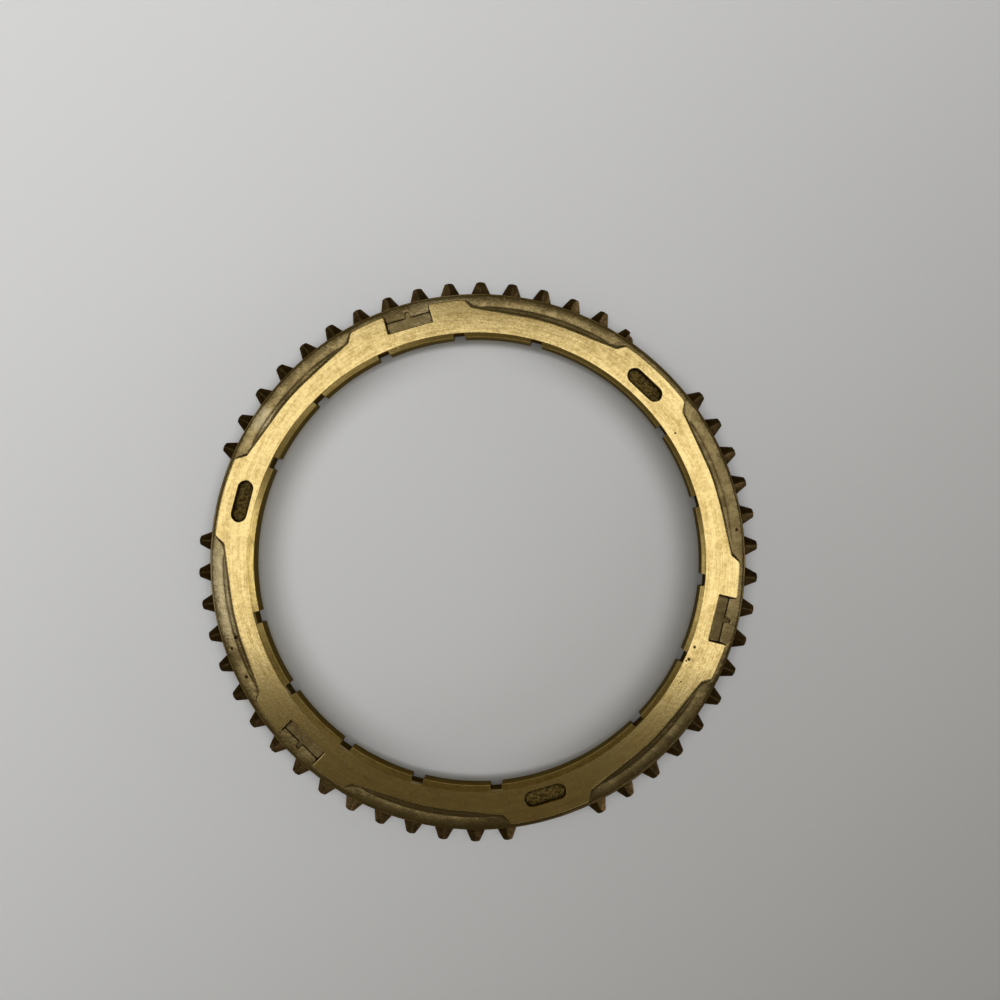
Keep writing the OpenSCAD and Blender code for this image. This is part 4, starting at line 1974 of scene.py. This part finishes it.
@dataclass
class Studio:
    """The pale floor, the soft lamps and the camera over the ring.

    The camera's place and aim, in millimetres, come from the photo's circles: the ring's tip circle, face
    edge and bore fix its height and tilt for a lens of 37.8 mm on a 36 mm sensor. The floor's painted shadows
    are given by the distances from the axis, in metres, between which each of them comes and goes.
    """

    eye: tuple[float, float, float] = (6.11, 4.1, 263.2)
    lens: float = 37.8
    sensor: float = 36.0
    clips: tuple[float, float] = (0.01, 20.0)
    tilt_down: float = -2.3
    tilt_side: float = -0.157
    world_tone: Colour = (1.0, 0.86, 0.5)
    world_strength: float = 0.08
    panel_height: float = 1.0
    panel_turn: float = -3.5
    fill_distance: float = 1.5
    floor_half: float = 6.0
    floor_tones: tuple[Colour, Colour] = ((0.79, 0.80, 0.84), (0.84, 0.85, 0.89))
    floor_roughness: float = 0.6
    floor_glow: float = 0.53
    floor_glow_tone: Colour = (0.97, 0.98, 1.0)
    painted_light_side: float = 135.0
    painted_light_reach: float = 0.3
    shade_inside: tuple[float, float] = (0.055, 0.045)
    shade_outside: tuple[float, float] = (0.064, 0.07)
    shade_depth: tuple[float, float] = (0.05, 0.75)
    contact_inside: tuple[float, float] = (0.0526, 0.0548)
    contact_outside: tuple[float, float] = (0.061, 0.059)
    contact_depth: float = 0.85

    def camera(self) -> None:
        """Makes the camera. Its axes are the photo's, turned into the frame by the photo's turn."""
        tx = math.radians(self.tilt_down)
        ty = math.radians(self.tilt_side)
        right = Vector((math.cos(ty), math.sin(tx) * math.sin(ty), math.cos(tx) * math.sin(ty)))
        down = Vector((0.0, -math.cos(tx), math.sin(tx)))
        forward = Vector((math.sin(ty), -math.sin(tx) * math.cos(ty), -math.cos(tx) * math.cos(ty)))
        turn = Matrix.Rotation(math.radians(PHOTO_TURN), 4, "Z")
        axes = Matrix((right, -down, -forward)).transposed().to_4x4()
        place = Matrix.Translation(Vector(self.eye) * MM)
        data = bpy.data.cameras.new("camera")
        data.lens = self.lens
        data.sensor_width = self.sensor
        data.clip_start, data.clip_end = self.clips
        made = bpy.data.objects.new("camera", data)
        made.matrix_world = turn @ place @ axes
        bpy.context.scene.collection.objects.link(made)
        bpy.context.scene.camera = made

    def floor(self) -> None:
        """Makes the pale floor, with a faint cloud in its tone. Its glow is painted light, paler towards the
        image's upper left, and painted shadow cuts it near the ring.
        """
        half = self.floor_half
        corners = [(-half, -half, 0.0), (half, -half, 0.0), (half, half, 0.0), (-half, half, 0.0)]
        mesh = bpy.data.meshes.new("floor")
        mesh.from_pydata(corners, [], [(0, 1, 2, 3)])
        made = bpy.data.objects.new("floor", mesh)
        paint, sheet, shader = new_material("pale_floor", 0.0)
        cloud = sheet.noise(sheet.place(), 14.0, 4.0, 0.6)
        sheet.feed(shader.inputs["Base Color"], sheet.blend(cloud, *self.floor_tones))
        shader.inputs["Roughness"].default_value = self.floor_roughness
        path = sheet.node("ShaderNodeLightPath").outputs
        seen = sheet.maths("ADD", path["Is Camera Ray"], path["Is Glossy Ray"])
        seen = sheet.maths("ADD", seen, path["Is Transmission Ray"], clamp=True)
        # Painted light: the glow grows towards the image's upper left
        across = sheet.along(sheet.place(), self.painted_light_side)
        painted_light = sheet.ramp(across, -self.painted_light_reach, self.painted_light_reach)
        glow = sheet.maths("MULTIPLY", painted_light, self.floor_lit(sheet))
        glow = sheet.maths("MULTIPLY", glow, self.floor_glow)
        shader.inputs["Emission Color"].default_value = (*self.floor_glow_tone, 1.0)
        sheet.feed(shader.inputs["Emission Strength"], sheet.maths("MULTIPLY", seen, glow))
        mesh.materials.append(paint)
        bpy.context.scene.collection.objects.link(made)

    def floor_lit(self, sheet: Sheet) -> Socket:
        """How much of the floor's glow is kept round the ring, where painted shadows cut it.

        Close to the ring's left and right sides it is less, as the ring keeps the room's light off the floor
        there, and inside the bore it is least where the ring touches the floor.

        Args:
            sheet: The floor's sheet of nodes.

        Returns:
            A share from 0 to 1.
        """
        apart = sheet.vector("LENGTH", sheet.place()).outputs["Value"]
        clear_inside = sheet.ramp(apart, *self.shade_inside)
        clear = sheet.maths("MAXIMUM", clear_inside, sheet.ramp(apart, *self.shade_outside))
        course = sheet.vector("NORMALIZE", sheet.place()).outputs[0]
        aside = sheet.maths("ABSOLUTE", sheet.along(course, 0.0))
        deep = sheet.spread(sheet.ramp(aside, 0.0, 0.8), *self.shade_depth)
        deep = sheet.maths("MULTIPLY", deep, sheet.maths("SUBTRACT", 1.0, clear))
        contact = sheet.maths("MULTIPLY", sheet.ramp(apart, *self.contact_inside), self.contact_depth)
        contact = sheet.maths("MULTIPLY", contact, sheet.ramp(apart, *self.contact_outside))
        return sheet.maths("SUBTRACT", 1.0, sheet.maths("MAXIMUM", deep, contact))

    @staticmethod
    def lamp(name: str, size: tuple[float, float], radiance: float, place: Matrix) -> None:
        """Makes a soft rectangular lamp that the camera doesn't see.

        Its power is pi times its radiance times its area.

        Args:
            name: The lamp's name.
            size: Its width and its height, in metres.
            radiance: How bright its surface is, where 1 is white.
            place: Where it stands. It shines along its own -Z.
        """
        data = bpy.data.lights.new(name, "AREA")
        data.shape = "RECTANGLE"
        data.size, data.size_y = size
        data.energy = radiance * math.pi * data.size * data.size_y
        made = bpy.data.objects.new(name, data)
        made.matrix_world = place
        made.visible_camera = False
        bpy.context.scene.collection.objects.link(made)

    def panel(
        self, name: str, across: tuple[float, float], along: tuple[float, float], radiance: float
    ) -> None:
        """Hangs a flat soft panel over the floor, facing down.

        Args:
            name: The lamp's name.
            across: Where it begins and ends to the image's right, in metres.
            along: Where it begins and ends towards the image's top, in metres.
            radiance: How bright its surface is, where 1 is white.
        """
        size = (across[1] - across[0], along[1] - along[0])
        turn = Matrix.Rotation(math.radians(PHOTO_TURN + self.panel_turn), 4, "Z")
        middle = Matrix.Translation((sum(across) / 2, sum(along) / 2, self.panel_height))
        self.lamp(name, size, radiance, turn @ middle)

    def fill(
        self, name: str, photo_angle: float, lean: float, size: tuple[float, float], radiance: float
    ) -> None:
        """Stands a soft lamp at the side, facing the ring.

        Args:
            name: The lamp's name.
            photo_angle: Where it stands, counter-clockwise from the image's right.
            lean: Its angle from straight overhead.
            size: Its width and its height, in metres.
            radiance: How bright its surface is, where 1 is white.
        """
        across = math.radians(photo_angle + PHOTO_TURN)
        down = math.radians(lean)
        flat = math.sin(down)
        course = Vector((flat * math.cos(across), flat * math.sin(across), math.cos(down)))
        facing = course.to_track_quat("Z", "Y").to_matrix().to_4x4()
        self.lamp(name, size, radiance, Matrix.Translation(course * self.fill_distance) @ facing)

    def light(self) -> None:
        """Sets the world's even light, hangs a panel over the ring and stands four lamps beside it."""
        world = bpy.data.worlds.new("studio")
        world.use_nodes = True
        ground = world.node_tree.nodes["Background"]
        ground.inputs["Color"].default_value = (*self.world_tone, 1.0)
        ground.inputs["Strength"].default_value = self.world_strength
        bpy.context.scene.world = world
        self.panel("panel_over", (-0.48, 0.6), (-0.15, 0.265), 1.12)
        self.fill("side_left", 174.0, 76.0, (0.62, 0.3), 1.15)
        self.fill("side_right", -2.0, 79.0, (0.7, 0.35), 2.3)
        self.fill("side_back", 45.0, 82.0, (0.9, 0.3), 0.15)
        self.fill("side_front", 305.0, 66.0, (0.9, 0.4), 0.85)


def main() -> None:
    """Builds the ring's skin and the studio in order."""
    logging.basicConfig(level=logging.INFO, format="%(message)s")
    bpy.context.scene.view_settings.view_transform = "Standard"
    tip_r, height = ring_sizes()
    ring = RingSkin(tip_r=tip_r, height=height)
    skin = ring.build()
    ring.dress(skin, SharedEffects.build())
    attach(skin, BODY)
    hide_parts(NODE)
    LOG.info("ring_skin: %d vertices, %d quads", len(skin.data.vertices), len(skin.data.polygons))
    studio = Studio()
    studio.camera()
    studio.floor()
    studio.light()
    LOG.info("studio: camera, floor and lamps")


if __name__ == "__main__":
    main()
